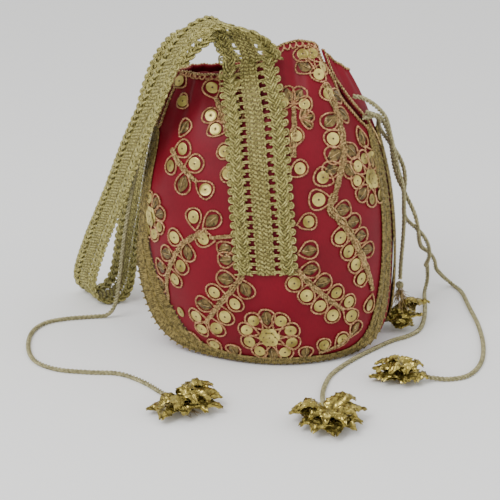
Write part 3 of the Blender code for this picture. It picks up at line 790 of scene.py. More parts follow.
def ribbon_guide():
    shares = np.linspace(STRAP_SEWN_FROM, STRAP_SEWN_TO, 15)
    rows = [sewn_row(-1.0 - 6.5 * share**2, share, 1) for share in shares]
    for (x, y, z), turn in STRAP_LOOP:
        rows.append([x, y, z, math.cos(math.radians(turn)), math.sin(math.radians(turn)), 0,
                     0, 0, 0])
    rows += [sewn_row(BACK_STRAP_AT, share, -1) for share in shares[::-1]]
    fine = smooth_points(rows, 1000)
    middle, wide, bow = fine[:, :3], fine[:, 3:6], fine[:, 6:]
    middle[:, 2] = np.maximum(middle[:, 2], 1.3)
    ahead = np.gradient(middle, axis=0)
    face = np.cross(wide, ahead)
    return (middle, wide / np.linalg.norm(wide, axis=1, keepdims=True), bow,
            face / np.linalg.norm(face, axis=1, keepdims=True))


handle_guide = ribbon_guide()
print("handle", round(run_length(handle_guide[0])), "mm long")

# %% One repeat of the lace, drawn flat
LACE_PERIOD, LACE_STEP = 12.6, 4.2


def beside(line, offset):
    """The line moved sideways in its own plane by this much."""
    ahead = np.gradient(line, axis=0)[:, :2]
    ahead /= np.linalg.norm(ahead, axis=1, keepdims=True)
    moved = line.copy()
    moved[:, 0] += ahead[:, 1] * offset
    moved[:, 1] -= ahead[:, 0] * offset
    return moved


def lace_unit():
    """Lines of (across, down, above) in millimetres, with their thickness."""
    unit = []
    t = np.linspace(0, 1, 16)
    for side in (-1, 1):
        for strand in range(3):
            turn = math.tau * (t + strand / 3)
            path = np.stack([side * (10.1 + 2.35 * np.sin(turn)), LACE_PERIOD * t,
                             1.0 * np.sin(2 * turn)], axis=-1)
            unit += [(beside(path, offset), 1.45) for offset in (-0.55, 0.55)]
        curl = np.linspace(0, 3, 37)
        for reach, back, thick in ((1.75, 2.35, 1.3), (0.85, 1.35, 1.2)):
            unit.append((np.stack([side * (13.3 + reach * np.cos(math.tau * curl)),
                                   LACE_STEP * curl - back * np.sin(math.tau * curl),
                                   0.45 * np.sin(math.tau * curl + 1)], axis=-1), thick))
        curl = np.linspace(0, 3, 28)
        unit.append((np.stack([side * (7.3 - 0.95 * np.cos(math.tau * curl)),
                               LACE_STEP * curl - 1.0 * np.sin(math.tau * curl),
                               0.5 + 0.3 * np.cos(math.tau * curl)], axis=-1), 1.1))
        for bar in range(3):
            for place in (1.0, 1.75):
                down = LACE_STEP * bar + place
                unit.append((np.array([(side * 3.9, down, 0.1), (side * 5.6, down + 0.2, 0.35),
                                       (side * 7.6, down, 0.2)]), 1.05))
    t = np.linspace(0, 1, 31)
    for column in range(-4, 5):
        sway = np.sin(math.tau * 6 * t + (column % 2) * math.pi)
        unit.append((np.stack([column * 0.98 + 0.40 * sway, LACE_PERIOD * t,
                               0.55 * np.cos(math.tau * 6 * t + column)], axis=-1), 1.15))
    return unit


# %% The handle, in four lengths
def part_of(guide, first, last):
    return [values[first:last + 1] for values in guide]


def ground_strips(guide):
    """The flat knitted ground under the plaits and the middle, dark with painted shade between the
    yarns.
    """
    middle, wide, bow, _ = guide
    parts = []
    for left, right in ((-12.4, -7.9), (-4.2, 4.2), (7.9, 12.4)):
        across = np.linspace(left, right, 4)[None, :, None]
        parts.append(middle[::3, None] + across * wide[::3, None] + across**2 * bow[::3, None])
    return parts


lace_lines = lace_unit()
for name, first, last in zip(("lace_front", "lace_outer_leg", "lace_inner_leg", "lace_back"),
                             HANDLE_CUTS, HANDLE_CUTS[1:]):
    piece = laid(name, lace_lines, LACE_PERIOD, part_of(handle_guide, first, last), lace_yarn,
                 yarn=0.37, sides=4)
    stand_for(piece, "gold_lace", "lace_strap")
    print(name, len(piece.data.polygons), "faces")
# The ground strips carry painted shade, dark between the yarns.
lace_ground = stand_for(joined("lace_ground", ground_strips(handle_guide), painted_lace_shade, 0.3),
                        "gold_lace", "lace_strap")

# %% [markdown]
# ## The needlework
#
# The embroidery is couched: a twisted gold cord is laid on the cloth and caught down with small
# stitches. Stems are bundles of such cords. Teardrop loops branch off them, and each loop holds a
# round sequin or a small brown leaf. The places on the cloth are written as degrees and share of
# the height, and leaves are set along a stem by a rule, left and right by turns.
# %% Moving about on the cloth
def frame_at(degrees, share):
    """The point of the cloth, its right, up and outward directions, and millimetres per unit."""
    here = cloth(degrees, share)
    right = (cloth(degrees + 0.6, share) - cloth(degrees - 0.6, share)) / 1.2
    up = (cloth(degrees, share + 0.006) - cloth(degrees, share - 0.006)) / 0.012
    per_degree, per_share = np.linalg.norm(right), np.linalg.norm(up)
    normal = np.cross(right, up)
    return (here, right / per_degree, up / per_share, normal / np.linalg.norm(normal),
            per_degree, per_share)


def scale_at(degrees, share):
    """Millimetres for one degree, and for one unit of share."""
    return frame_at(degrees, share)[4:]


def on_cloth(at, offsets, lift):
    """Points this many millimetres right and up of a place, lying on the cloth."""
    degrees, share = at
    per_degree, per_share = scale_at(degrees, share)
    offsets = np.asarray(offsets, float)
    return cloth(degrees + offsets[:, 0] / per_degree,
                 np.clip(share + offsets[:, 1] / per_share, 0.004, 0.998), lift)


LOOP_LENGTH, LOOP_WIDTH, LOOP_SHAKE = 10.6, 8.6, 0.2
rng = np.random.default_rng(7)
couched_loops, couched_stems, sequins, leaves = (
    {side: [] for side in ("front", "back")} for _ in range(4))


def teardrop(length, width, angle):
    """An outline that starts and ends at its point, in millimetres, leaning by angle."""
    turn = np.linspace(0.0, math.tau, 34)
    along = length * (1 - np.cos(turn)) / 2
    wide = width / 2 * np.sin(turn) * np.sin(turn / 2) ** 0.9 * 1.26
    shake = rng.normal(0, LOOP_SHAKE, (9, 2))
    shake = np.stack([np.interp(turn, np.linspace(0, math.tau, 9), shake[:, k])
                      for k in (0, 1)], axis=-1)
    c, s = math.cos(angle), math.sin(angle)
    return np.stack([along * c - wide * s, along * s + wide * c], axis=-1) + shake


# %% A leaf of the vine: its loop, and what it holds
def petal(side, at, angle, kind="sequin", length=LOOP_LENGTH, width=LOOP_WIDTH):
    """A loop on the cloth from its point at this place, angle counted from the right."""
    size = 1 + rng.normal(0, 0.03)
    outline = teardrop(length * size, width * size, angle)
    couched_loops[side].append(on_cloth(at, outline, 0.55))
    reach = length * size * (0.59 if kind == "sequin" else 0.56)
    centre = np.array([[reach * math.cos(angle), reach * math.sin(angle)]])
    per_degree, per_share = scale_at(*at)
    place = (at[0] + centre[0, 0] / per_degree, at[1] + centre[0, 1] / per_share)
    here, right, up, normal = frame_at(*place)[:4]
    heading = right * math.cos(angle) + up * math.sin(angle)
    tilt = rng.normal(0, 0.07, 2)
    facing = normal + right * tilt[0] + up * tilt[1]
    if kind == "sequin":
        spread = min(width, length * 0.82) * size / LOOP_WIDTH
        sequins[side].append((here + normal * 0.75, facing, heading, [spread] * 3))
    else:
        leaves[side].append((here + normal * 0.35, facing, heading,
                             [width * size / LOOP_WIDTH, length * size / LOOP_LENGTH, 1.0]))


def stem(side, points, strands=3, spread=0.95):
    """Cords laid side by side along a smooth line of places on the cloth."""
    line = smooth_points([(d, s * 100, 0) for d, s in points], 10 + 8 * len(points))[:, :2]
    line[:, 1] /= 100
    for k in range(strands):
        away = (k - (strands - 1) / 2) * spread
        placed = []
        for j, (degrees, share) in enumerate(line):
            nxt, prv = line[min(j + 1, len(line) - 1)], line[max(j - 1, 0)]
            per_degree, per_share = scale_at(degrees, share)
            run = np.array([(nxt[0] - prv[0]) * per_degree, (nxt[1] - prv[1]) * per_share])
            run /= np.linalg.norm(run) + 1e-9
            sway = away * (1 + 0.25 * math.sin(j * 0.9 + k * 2)) * (1 - 0.6 * (j / len(line)) ** 3)
            placed.append((degrees - run[1] * sway / per_degree,
                           share + run[0] * sway / per_share))
        placed = np.array(placed)
        lift = 0.6 + 0.25 * (k % 2)
        couched_stems[side].append(cloth(placed[:, 0], placed[:, 1], lift))
    return line


def leaf_spots(line, first, gap):
    """Places along a stem at even steps in millimetres, with the stem's direction there."""
    metric = np.array([scale_at(*spot) for spot in line])
    moves = np.diff(line, axis=0) * (metric[:-1] + metric[1:]) / 2
    run = np.append(0, np.cumsum(np.linalg.norm(moves, axis=1)))
    for distance in np.arange(first, run[-1] + 0.01, gap):
        k = min(np.searchsorted(run, distance), len(moves) - 1)
        spot = [np.interp(distance, run, line[:, c]) for c in (0, 1)]
        yield spot, math.atan2(moves[k][1], moves[k][0])


def vine(side, points, left="", right="", first=(3.0, 5.0), gap=(9.0, 9.0), lean=1.0, end="",
         strands=3):
    """A stem with loops on both sides. Each letter is one loop: s a sequin, l a leaf, - none."""
    line = stem(side, points, strands)
    kinds = {"s": "sequin", "l": "leaf"}
    for letters, start, space, turn in ((left, first[0], gap[0], lean),
                                        (right, first[1], gap[1], -lean)):
        for letter, (spot, heading) in zip(letters, leaf_spots(line, start, space)):
            if letter in kinds:
                petal(side, spot, heading + turn, kinds[letter])
    if end:
        *_, (spot, heading) = leaf_spots(line, 0.5, 1.0)
        for letter, turn in zip(end, (0.0, 0.9, -0.9)):
            petal(side, spot, heading + turn, kinds[letter])


def rosette(side, at, petals=10, reach=4.6, length=10.8, width=8.2, dark=(2, 7)):
    """Loops round a middle of overlapping sequins."""
    here, right, up, normal, per_degree, per_share = frame_at(*at)
    for k in range(petals):
        angle = math.tau * (k + 0.5) / petals
        spot = (at[0] + reach * math.cos(angle) / per_degree,
                at[1] + reach * math.sin(angle) / per_share)
        petal(side, spot, angle, "leaf" if k in dark else "sequin", length, width)
    for k in range(7):
        angle, far = math.tau * k / 6, 2.7 if k < 6 else 0.0
        spot = here + right * far * math.cos(angle) + up * far * math.sin(angle)
        sequins[side].append((spot + normal * (0.9 + 0.12 * k), normal, up, [0.8] * 3))


# %% The front
rosette("front", (-4, 0.125))
vine("front", [(-12, 0.355), (-19, 0.29), (-28, 0.215), (-36, 0.15)], left="lsss", right="lsls",
     first=(2.0, 4.0), gap=(10.0, 10.5), end="s")
vine("front", [(11, 0.375), (18, 0.31), (26, 0.25), (33, 0.205)], left="llss", right="ssss",
     first=(2.0, 1.5), gap=(9.5, 8.5), end="s")
vine("front", [(-13, 0.495), (-20, 0.488), (-27, 0.48)], strands=2)
petal("front", (-24, 0.472), 3.1, "sequin")
vine("front", [(-28, 0.50), (-40, 0.45), (-49, 0.36), (-56, 0.28), (-60, 0.20)],
     left="-lss", right="-slll", first=(3.0, 4.0), gap=(10.0, 10.5))
petal("front", (-30, 0.51), 0.75, "leaf", 11.5, 8.6)
petal("front", (-34, 0.50), 1.75, "sequin")
stem("front", [(-60, 0.21), (-64, 0.14), (-62, 0.09)], 1)
sequins["front"].append((cloth(-52.0, 0.165, 0.5), outward(cloth, -52.0, 0.165),
                         (0, 0, 1), [0.8, 0.9, 0.9]))
vine("front", [(-54, 0.755), (-50, 0.735), (-43, 0.70), (-35, 0.665)], left="ss", right="sl",
     first=(2.0, 3.5), gap=(10.5, 10.5), lean=1.15, end="s")
petal("front", (-50, 0.80), 1.2, "leaf", 9.5, 7.6)
rosette("front", (-66, 0.50), petals=8, reach=3.4, length=9.0, width=7.2, dark=(0, 1, 4))
vine("front", [(-20, 0.81), (-26, 0.88), (-32, 0.93)], left="ss", right="ll", first=(3.0, 4.0),
     gap=(8.0, 7.0), end="s")
for at, angle, kind in (((-17, 0.86), 2.7, "sequin"), ((-14, 0.93), 2.2, "sequin"),
                        ((-16, 0.755), 2.9, "sequin"), ((-13, 0.70), 3.3, "sequin"),
                        ((-60, 0.955), 2.9, "sequin"), ((-50, 0.90), 2.9, "sequin"),
                        ((-15, 0.46), 3.5, "leaf"), ((-14, 0.415), 3.3, "leaf"),
                        ((12, 0.52), 0.2, "sequin"), ((12, 0.43), 0.1, "leaf"),
                        ((10, 0.67), 0.5, "sequin"), ((11, 0.75), 0.9, "sequin")):
    petal("front", at, angle, kind, 9.8, 8.0)
vine("front", [(12, 0.72), (14, 0.80), (15, 0.85)], left="-", right="-", strands=3)
for angle in (1.9, 0.9, -0.1, 2.7):
    petal("front", (15, 0.855), angle, "leaf" if angle in (0.9, 1.9) else "sequin", 9.5, 7.6)
for angle in (0.2, 1.0, -0.7):
    petal("front", (18, 0.815), angle, "leaf", 6.5, 4.2)
vine("front", [(36, 0.90), (39, 0.85), (40, 0.79), (39, 0.72), (35, 0.66), (31, 0.60)],
     left="ll-ll", right="-lsll", first=(3.0, 6.0), gap=(8.5, 8.5), lean=0.95, strands=4)
petal("front", (31, 0.635), 2.6, "sequin", 10.8, 9.4)
petal("front", (29, 0.585), 3.0, "sequin", 10.8, 9.4)
vine("front", [(31, 0.60), (28, 0.56), (35, 0.50), (42, 0.42), (48, 0.33), (52, 0.25)],
     left="llll", right="-ssss", first=(9.0, 9.0), gap=(8.5, 9.0), lean=0.95, strands=4)
petal("front", (52, 0.235), -1.9, "sequin", 10.0, 8.4)
petal("front", (57, 0.80), -1.5, "leaf", 11.5, 8.0)
petal("front", (58, 0.74), -1.2, "sequin", 10.0, 7.6)
rosette("front", (56, 0.635), petals=9, reach=4.4, length=9.8, width=7.6, dark=(1, 5))
for at, angle, kind in (((30, 0.985), -2.2, "sequin"), ((37, 0.95), 2.3, "sequin"),
                        ((36, 0.945), -2.0, "sequin"), ((33, 0.965), -1.1, "sequin"),
                        ((31, 0.925), 2.6, "leaf"), ((37, 0.905), -1.7, "sequin")):
    petal("front", at, angle, kind, 9.8, 8.0)
for at, angle, kind in (((-45, 0.045), 2.5, "leaf"), ((-33, 0.035), 1.9, "sequin"),
                        ((-23, 0.03), 1.8, "leaf"), ((12, 0.03), 1.4, "leaf"),
                        ((21, 0.045), 1.3, "sequin"), ((29, 0.06), 0.9, "sequin"),
                        ((38, 0.09), 1.0, "leaf")):
    petal("front", at, angle, kind, 9.0, 7.4)
stem("front", [(20, 0.05), (30, 0.065), (38, 0.10), (41, 0.135)], 2)

# %% The back repeats the same kinds of vine, more openly
rosette("back", (181, 0.13))
centre = 180.0
for mirror in (-1, 1):
    vine("back", [(centre + mirror * 9, 0.35), (centre + mirror * 17, 0.28),
                  (centre + mirror * 30, 0.17)], left="sls", right="sls", end="s",
         gap=(10.0, 10.0))
    vine("back", [(centre + mirror * 20, 0.55), (centre + mirror * 33, 0.48),
                  (centre + mirror * 46, 0.36), (centre + mirror * 56, 0.24)],
         left="slsls", right="lslss", gap=(10.0, 10.0), end="s")
    vine("back", [(centre + mirror * 28, 0.62), (centre + mirror * 44, 0.66),
                  (centre + mirror * 58, 0.60)], left="sls", right="ssl", end="l",
         gap=(10.0, 10.0))
    vine("back", [(centre + mirror * 22, 0.72), (centre + mirror * 26, 0.82),
                  (centre + mirror * 34, 0.92)], left="sls", right="lsl", end="s",
         gap=(9.5, 9.5))
    rosette("back", (centre + mirror * 62, 0.44), petals=9, dark=(1, 4))
print({side: (len(couched_loops[side]), len(sequins[side]), len(leaves[side]))
       for side in ("front", "back")})


# %% [markdown]
# A sequin is a thin disc, dished a little so that it catches the light, with a small dark disc over
# the hole where it is sewn through: painted shade, for the hole looks dark. A gota leaf is a folded
# scrap of metal ribbon: pointed at both ends, ridged along its length, with a stitch down its
# middle.
# %% The sequin, the leaf and its stitch
def lathe_disc(name, rings, segments):
    """A closed round piece from (radius, height) rings in millimetres."""
    angle = np.linspace(0, math.tau, segments, endpoint=False)
    points = np.array([[(r * math.cos(a), r * math.sin(a), h) for a in angle] for r, h in rings])
    count = len(rings)
    faces = []
    for i in range(count):
        for j in range(segments):
            k, n = (j + 1) % segments, (i + 1) % count
            faces.append((i * segments + j, i * segments + k, n * segments + k, n * segments + j))
    mesh = bpy.data.meshes.new(name)
    mesh.from_pydata(points.reshape(-1, 3) * MM, [], faces)
    mesh.update()
    return mesh


sequin_unit = lathe_disc("sequin", [(0.42, 0.16), (0.42, -0.06), (2.9, -0.12), (3.08, 0.0),
                                    (2.85, 0.1), (2.2, 0.0), (0.9, 0.02)], 15)
# The dark disc over each sequin's hole is painted shade, standing for the dark hole.
hole_shade_disc = lathe_disc("eye", [(0.05, 0.24), (0.05, 0.0), (0.5, 0.0), (0.5, 0.2)], 8)
painted_hole_shade = plain_material("sequin_hole_painted_shade", (0.035, 0.014, 0.008), 0.6)


def leaf_unit():
    mesh = bpy.data.meshes.new("gota_leaf")
    rows, columns = 7, 6
    points, faces = [], []
    for i in range(rows):
        t = i / (rows - 1)
        half = 2.9 * math.sin(math.pi * min(max(t, 0.03), 0.97)) ** 0.8
        for j in range(columns):
            s = j / (columns - 1) * 2 - 1
            height = 0.5 * (1 - s * s) + 0.14 * (-1) ** j + 0.05
            points.append((half * s, (t - 0.5) * 7.6, height))
    for i in range(rows - 1):
        for j in range(columns - 1):
            a = i * columns + j
            faces.append((a, a + 1, a + columns + 1, a + columns))
    mesh.from_pydata(np.array(points) * MM, [], faces)
    mesh.update()
    return mesh


def stitch_line(place, length, lift):
    """A small straight stitch over a leaf, down its middle."""
    point, facing, heading, _ = (np.asarray(v, float) for v in place)
    facing = facing / np.linalg.norm(facing)
    heading = heading / np.linalg.norm(heading)
    t = np.linspace(-0.5, 0.5, 5)[:, None]
    return point + heading * t * length + facing * (lift - 0.5 * (2 * t) ** 2 * lift)


for side in ("front", "back"):
    loops = twisted(f"{side}_loops", couched_loops[side], outline_zari, radius=0.31, pitch=2.3,
                    step_mm=0.70, sides=4)
    stand_for(loops, "zari_braid")
    stems = twisted(f"{side}_stems", couched_stems[side], zari, radius=0.35, pitch=2.6,
                    step_mm=0.60, sides=4)
    stand_for(stems, "zari_braid")
    stand_for(set_on(f"{side}_sequins", sequin_unit, sequins[side], sequin_film), "gold_foil")
    gota = set_on(f"{side}_leaves", leaf_unit(), leaves[side], gota_leaf)
    thicken(gota, 0.15, 0)
    stand_for(gota, "gold_foil")
    # Painted shade: a dark disc over each sequin's hole.
    stand_for(set_on(f"{side}_sequin_eyes", hole_shade_disc, sequins[side], painted_hole_shade), "gold_foil")
    held = [stitch_line(p, 6.0, 0.95) for p in leaves[side]]
    stand_for(twisted(f"{side}_stitches", held, zari, strands=1, radius=0.14, step_mm=0.6,
                      sides=4), "zari_braid")
    print(side, len(loops.data.polygons), len(stems.data.polygons), "faces of cord")

# %% [markdown]
# ## The braided borders
#
# Each panel's sides and foot are edged with a braid of two satin stitched ridges, with a groove
# between them and curled picots outside. On the left the seam's braid stands off the wall as a
# soft flange, as a flat seam does when a pouch is stuffed. The same ribbon machine lays it.
# %% One repeat of the braid
BRAID_PERIOD, BRAID_STITCH = 3.15, 1.05


def braid_unit(half):
    unit = []
    for ridge in (-1, 1):
        for k in range(3):
            down = k * BRAID_STITCH
            inner, outer = 0.55, half - 0.5
            u = np.linspace(inner, outer, 5)
            rise = 0.9 * np.sin(np.linspace(0.12, math.pi - 0.12, 5))
            unit.append((np.stack([ridge * u, down + 0.5 * (u - inner) / (outer - inner), rise],
                                  axis=-1), 1.0))
        curl = np.linspace(0, 1, 11)
        unit.append((np.stack([ridge * (half - 0.1 + 0.7 * np.cos(math.tau * curl)),
                               BRAID_PERIOD * curl - 0.75 * np.sin(math.tau * curl),
                               0.35 + 0.25 * np.sin(math.tau * curl)], axis=-1), 0.9))
        t = np.linspace(0, 1, 9)
        unit.append((np.stack([ridge * 0.28 + 0.2 * np.cos(math.tau * t), BRAID_PERIOD * t,
                               0.55 + 0.25 * np.sin(math.tau * t)], axis=-1), 0.9))
    return unit


# Rows of the border: inner edge (degrees, share), outer edge (degrees, share), how far the outer
# edge stands off the wall in millimetres.
LEFT_FLANGE = (
    (-77, 0.80, -79.2, 0.80, 0.6), (-72, 0.76, -79.2, 0.76, 0.8), (-71, 0.62, -79.2, 0.62, 1.0),
    (-70, 0.48, -79, 0.47, 2.0),
    (-69, 0.38, -77, 0.35, 5.0), (-66, 0.27, -74, 0.22, 7.5), (-61, 0.18, -68, 0.11, 8.0),
    (-55, 0.105, -60, 0.05, 6.0), (-44, 0.062, -47, 0.022, 3.5), (-30, 0.044, -31, 0.014, 1.8))
FOOT = tuple((d, 0.038, d, 0.010, 1.4) for d in (-18, -6, 6, 18, 30))
RIGHT_SIDE = (
    (42, 0.052, 44, 0.016, 1.8), (51, 0.10, 56, 0.05, 2.2), (55.5, 0.18, 64, 0.13, 1.6),
    (58.5, 0.27, 68, 0.24, 1.2), (60.5, 0.38, 70, 0.37, 1.0), (61.5, 0.50, 71, 0.50, 0.9),
    (62.5, 0.62, 72, 0.62, 0.8), (63, 0.72, 72, 0.72, 0.8), (66.5, 0.81, 68.5, 0.81, 0.6))
BACK_ROWS = (
    (78, 0.80, 76, 0.80, 0.6), (84, 0.76, 76, 0.76, 0.8), (85, 0.6, 76, 0.6, 0.9),
    (86, 0.4, 76.5, 0.4, 1.0),
    (90, 0.2, 80, 0.17, 1.2), (100, 0.10, 93, 0.04, 1.5), (118, 0.048, 117, 0.014, 1.5),
    (150, 0.040, 150, 0.011, 1.5), (180, 0.038, 180, 0.010, 1.5), (210, 0.040, 210, 0.011, 1.5),
    (243, 0.048, 244, 0.014, 1.6), (258, 0.10, 263, 0.04, 4.0), (266, 0.2, 275, 0.16, 6.5),
    (269, 0.38, 278, 0.36, 3.0), (270, 0.6, 279, 0.6, 1.0), (271, 0.76, 279, 0.76, 0.8),
    (276.5, 0.80, 279, 0.80, 0.6))


def border_guide(rows, half):
    points = []
    for inner_at, inner_up, outer_at, outer_up, stand in rows:
        inner = cloth(inner_at, inner_up, 0.55)
        outer = wall(outer_at, outer_up)
        normal = outward(wall, outer_at, max(outer_up, 0.05))
        outer = outer + normal * stand
        outer[2] = max(outer[2], 1.2)
        points.append([*((inner + outer) / 2), *(outer - inner)])
    fine = smooth_points(points, 60 * len(rows))
    middle, wide = fine[:, :3], fine[:, 3:]
    ahead = np.gradient(middle, axis=0)
    ahead /= np.linalg.norm(ahead, axis=1, keepdims=True)
    width = np.linalg.norm(wide, axis=1, keepdims=True)
    wide = wide - ahead * (wide * ahead).sum(axis=1, keepdims=True)
    wide /= np.linalg.norm(wide, axis=1, keepdims=True)
    face = np.cross(ahead, wide)
    out = middle - (0, 0, 60)
    out[:, 2] = 0
    face *= np.sign((face * out).sum(axis=1, keepdims=True))
    return (middle, wide * width / (2 * half), np.zeros_like(wide), face), width.mean()


def braided_border(name, node, rows, half):
    guide, width = border_guide(rows, half)
    piece = laid(name, braid_unit(half), BRAID_PERIOD, guide, braid_gold, yarn=0.35, sides=4)
    stand_for(piece, "zari_braid", node)
    middle, wide, _, face = guide
    across = np.linspace(-half + 0.3, half - 0.3, 7)[None, :, None]
    rise = 0.45 * np.abs(np.sin(np.linspace(-math.pi, math.pi, 7)))[None, :, None]
    bed = middle[::4, None] + across * wide[::4, None] + rise * face[::4, None]
    stand_for(sheet_object(name + "_bed", bed, braid_gold, thickness=0.4, offset=0),
              "zari_braid", node)
    print(name, round(width, 1), "mm wide,", len(piece.data.polygons), "faces")


braided_border("front_braid", "front_border", LEFT_FLANGE + FOOT + RIGHT_SIDE, 5.0)
braided_border("back_braid", "back_border", BACK_ROWS, 4.4)

# %% [markdown]
# The rim and the seams carry a plain twisted gold cord, which hides the cut edges of the satin. A
# finer cord runs in small waves just under the front rim.
# %% Edging cords
rim_front = cloth(np.linspace(LEFT_SEAM + 3, right_seam(1.0) - 3, 160), 0.997, 0.1)
rim_back = cloth(np.linspace(right_seam(1.0) + 3, 360 + LEFT_SEAM - 3, 200), 0.997, 0.1)
seam_lines = []
for away in (-1.6, 1.6):
    shares = np.linspace(0.74, 0.99, 60)
    degrees = np.array([right_seam(s) + away * (1.6 + 1.2 * ease((s - 0.8) / 0.02)) for s in shares])
    seam_lines.append(cloth(degrees, shares, 0.5))
    degrees = LEFT_SEAM + away * (1.6 + 1.2 * ease((shares - 0.8) / 0.02))
    seam_lines.append(cloth(degrees, shares, 0.5))
along_rim = np.linspace(LEFT_SEAM + 4, right_seam(1.0) - 4, 520)
scallops = cloth(along_rim + 0.8 * np.cos(np.radians(along_rim * 84)),
                 0.988 + 0.0065 * np.sin(np.radians(along_rim * 84)), 0.6)
stand_for(twisted("rim_loops", [scallops], outline_zari, radius=0.26, pitch=2.4, step_mm=0.5,
                  sides=4), "zari_braid")
stand_for(twisted("rim_cord", [rim_front, rim_back], zari, radius=0.42, pitch=3.0, step_mm=0.5,
                  sides=6), "zari_braid")
stand_for(twisted("seam_cord", seam_lines, zari, radius=0.42, pitch=3.0, step_mm=0.5, sides=6),
          "zari_braid")

# %% [markdown]
# ## The tassels
#
# Each cord ends in a tassel of gota: strips of gold foil ribbon, gathered round a core of metal
# thread and crumpled. Every strip is a pointed leaf with a jagged edge. Its surface is pleated
# across and dented by a fixed noise, so the foil breaks the light into small sharp glints. The
# three tassels that lie on the table have a second, shorter layer of leaves on top.
# %% One foil leaf, the threads and the knot
WOUND_RADIUS, FOIL = 1.5, 0.22


def foil_leaf(root, heading, length, width, rise, seed):
    """Points of a crumpled leaf, in millimetres, from its root along a heading."""
    rows, columns = 22, 11
    ahead = np.array([math.cos(heading), math.sin(heading), 0.0])
    side = np.array([-math.sin(heading), math.cos(heading), 0.0])
    grid = np.zeros((rows, columns, 3))
    for i in range(rows):
        t = i / (rows - 1)
        half = width / 2 * math.sin(math.pi * (0.08 + 0.90 * t**0.8)) ** 0.85
        half *= 1 + 0.07 * (-1) ** i
        for j in range(columns):
            s = j / (columns - 1) * 2 - 1
            along = length * (t + 0.03 * math.sin(7 * s + seed))
            height = rise * math.sin(math.pi * 0.8 * t) + 1.6 * (1 - abs(s)) * (1 - 0.5 * t)
            height += 0.30 * math.sin(i * 1.57 + abs(j - 5) * 0.9)
            dent = noise.noise(Vector((along * 0.35 + seed, s * 1.6, seed * 1.7)))
            height += 0.9 * dent
            bend = 0.9 * noise.noise(Vector((t * 3, seed, 4.2)))
            grid[i, j] = (np.array(root) + ahead * along + side * (half * s + bend * 2 * t)
                          + (0, 0, height))
    return grid


def threads(name, root, ahead, count, length, spread, seed):
    """A brush of fine metal threads from the binding."""
    pick = np.random.default_rng(seed)
    ahead = np.asarray(ahead, float) / np.linalg.norm(ahead)
    lines = []
    for _ in range(count):
        away = pick.normal(0, spread, 3)
        tip = ahead * length * pick.uniform(0.6, 1.1) + away * length
        wave = pick.normal(0, 0.5, 3)
        t = np.linspace(0, 1, 7)[:, None]
        line = np.asarray(root) + pick.normal(0, 0.9, 3) + tip * t + wave * np.sin(t * 6)
        line[:, 2] = np.maximum(line[:, 2], 0.3)
        lines.append(line)
    return twisted(name, lines, zari, strands=1, radius=0.13, step_mm=0.9, sides=4)


def binding(name, centre):
    """A knot: the cord wound round itself into a small ball."""
    t = np.linspace(0, 1, 90)
    polar, turn = math.pi * (0.08 + 0.84 * t), math.tau * 5.5 * t
    ball = np.stack([np.sin(polar) * np.cos(turn), np.sin(polar) * np.sin(turn),
                     np.cos(polar)], axis=-1) * WOUND_RADIUS + centre
    return twisted(name, [ball], dori, strands=2, radius=0.42, pitch=2.6, step_mm=0.5, sides=5)


# %% The four tassels
CORE_RADIUS, CORE_LENGTH, KNOT = 3.4, 8.0, 2.4
# Middle, heading, and the leaves: angle off the heading, length, width, rise.
TASSELS = {
    "left": ((-41.0, -95.0), (0.60, -0.80),
             ((-1.75, 17, 11, 2), (-1.1, 20, 12, 3), (-0.45, 17, 12, 5), (0.1, 18, 11, 5),
              (0.6, 20, 11, 3), (1.15, 19, 12, 4), (1.7, 16, 11, 2), (0.9, 13, 9, 7),
              (-0.8, 12, 9, 7))),
    "front": ((24.3, -112.0), (0.05, -1.00),
              ((-2.15, 18, 12, 3), (-1.7, 17, 12, 6), (-1.1, 15, 11, 3), (-0.45, 18, 11, 4),
               (0.1, 19, 11, 3), (0.6, 18, 11, 4), (1.2, 16, 11, 3), (1.75, 18, 12, 6),
               (2.2, 17, 11, 3))),
    "far": ((64.0, -63.0), (-1.00, 0.06),
            ((-1.6, 10, 10, 2), (-0.9, 13, 10, 3), (-0.35, 18, 10, 3), (0.15, 19, 10, 2),
             (0.6, 16, 10, 4), (1.2, 11, 10, 3), (1.9, 9, 9, 3), (-0.1, 12, 9, 6),
             (2.7, 10, 9, 3)))}


def tassel(side, grids, brush, knot_at):
    """The foil, the threads and the knot, each in the place of its solid."""
    pieces = [joined(f"tassel_{side}_foil", grids, foil, FOIL),
              threads(f"tassel_{side}_threads", *brush),
              binding(f"tassel_{side}_binding", knot_at)]
    for piece, slot, node in zip(pieces, ("gold_foil", "gold_cord", "gold_cord"),
                                 ("petals", "core", "knot")):
        stand_for(piece, slot, f"tassel_{side}_{node}")
    return pieces


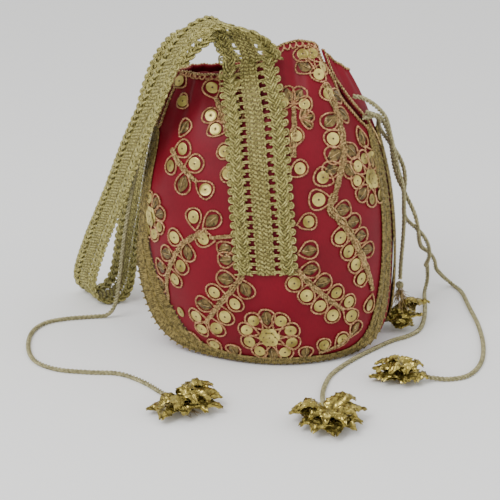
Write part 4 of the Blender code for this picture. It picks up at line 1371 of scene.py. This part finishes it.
def lying_tassel(side):
    (x, y), heading, leaf_rows = TASSELS[side]
    turn = math.atan2(heading[1], heading[0])
    way = np.array([math.cos(turn), math.sin(turn), 0.0])
    centre = np.array([x, y, CORE_RADIUS + 0.2])
    grids = [foil_leaf(centre - way * 1.5 + (0, 0, -2.2), turn + angle, length, width, rise,
                       seed=k * 3.7 + len(side))
             for k, (angle, length, width, rise) in enumerate(leaf_rows)]
    grids += [foil_leaf(centre + (0, 0, 0.5), turn + angle + 0.3, length * 0.82, width * 0.85,
                        rise * 0.8 + 3.5, seed=k * 5.3 + 1)
              for k, (angle, length, width, rise) in enumerate(leaf_rows)]
    return tassel(side, grids, (centre - way * 3, way, 70, 9.0, 0.28, 11),
                  centre - way * (CORE_LENGTH / 2 + KNOT + GAP) - (0, 0, 1.0))


def side_tassel():
    """It hangs beside the bag, its threads up and its leaves hanging and pushed outwards."""
    x, y, foot = 67.2, 5.0, 13.0
    grids = []
    for k, (angle, length, width, rise) in enumerate((
            (-1.3, 11, 11, -6), (-0.7, 12, 12, -9), (0.0, 13, 12, -4), (0.6, 16, 12, 2),
            (1.2, 12, 11, -5), (1.9, 10, 10, -8), (-1.9, 9, 10, -8), (0.3, 10, 9, 4))):
        grids.append(foil_leaf((x, y, foot - 1), angle - 0.5, length, width, rise, seed=k * 2.9))
    return tassel("side", grids, ((x, y, foot + 8), (0.1, -0.1, -1), 80, 9.0, 0.35, 5),
                  np.array([x, y, foot + 8 + GAP + KNOT]))


tassel_pieces = {side: lying_tassel(side) for side in TASSELS}
tassel_pieces["side"] = side_tassel()

# %% [markdown]
# Each pull cord's length is worked out from its route, and its tassel's pieces are listed;
# neither is kept.
# %% The cords' lengths and tassels
for side, (obj, route) in pull_cords.items():
    run_length(route) * MM
    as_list(tassel_pieces[side])

# %% [markdown]
# The satin pieces, the lining, the channel and the lace ground are sheets. Each is printed with
# the size of its longest row and its longest column laid flat, and with its flat area.
# %% Printing the sheets' sizes
def declare_sheet(piece, cut):
    area = sum(face.area for face in piece.data.polygons)
    flat = tuple(round(side * MM, 4) for side in cut)
    print(piece.name, "cut", flat, "area", round(area, 5))


for name, rests_on in (("front_satin", "base_panel"), ("back_satin", "base_panel"),
                       ("cotton_lining", "base_panel"), ("front_channel", "cotton_lining"),
                       ("back_channel", "cotton_lining")):
    declare_sheet(bpy.data.objects[name], CUT_SIZES[name])
declare_sheet(lace_ground, (STRAP_WIDTH, run_length(handle_guide[0])))
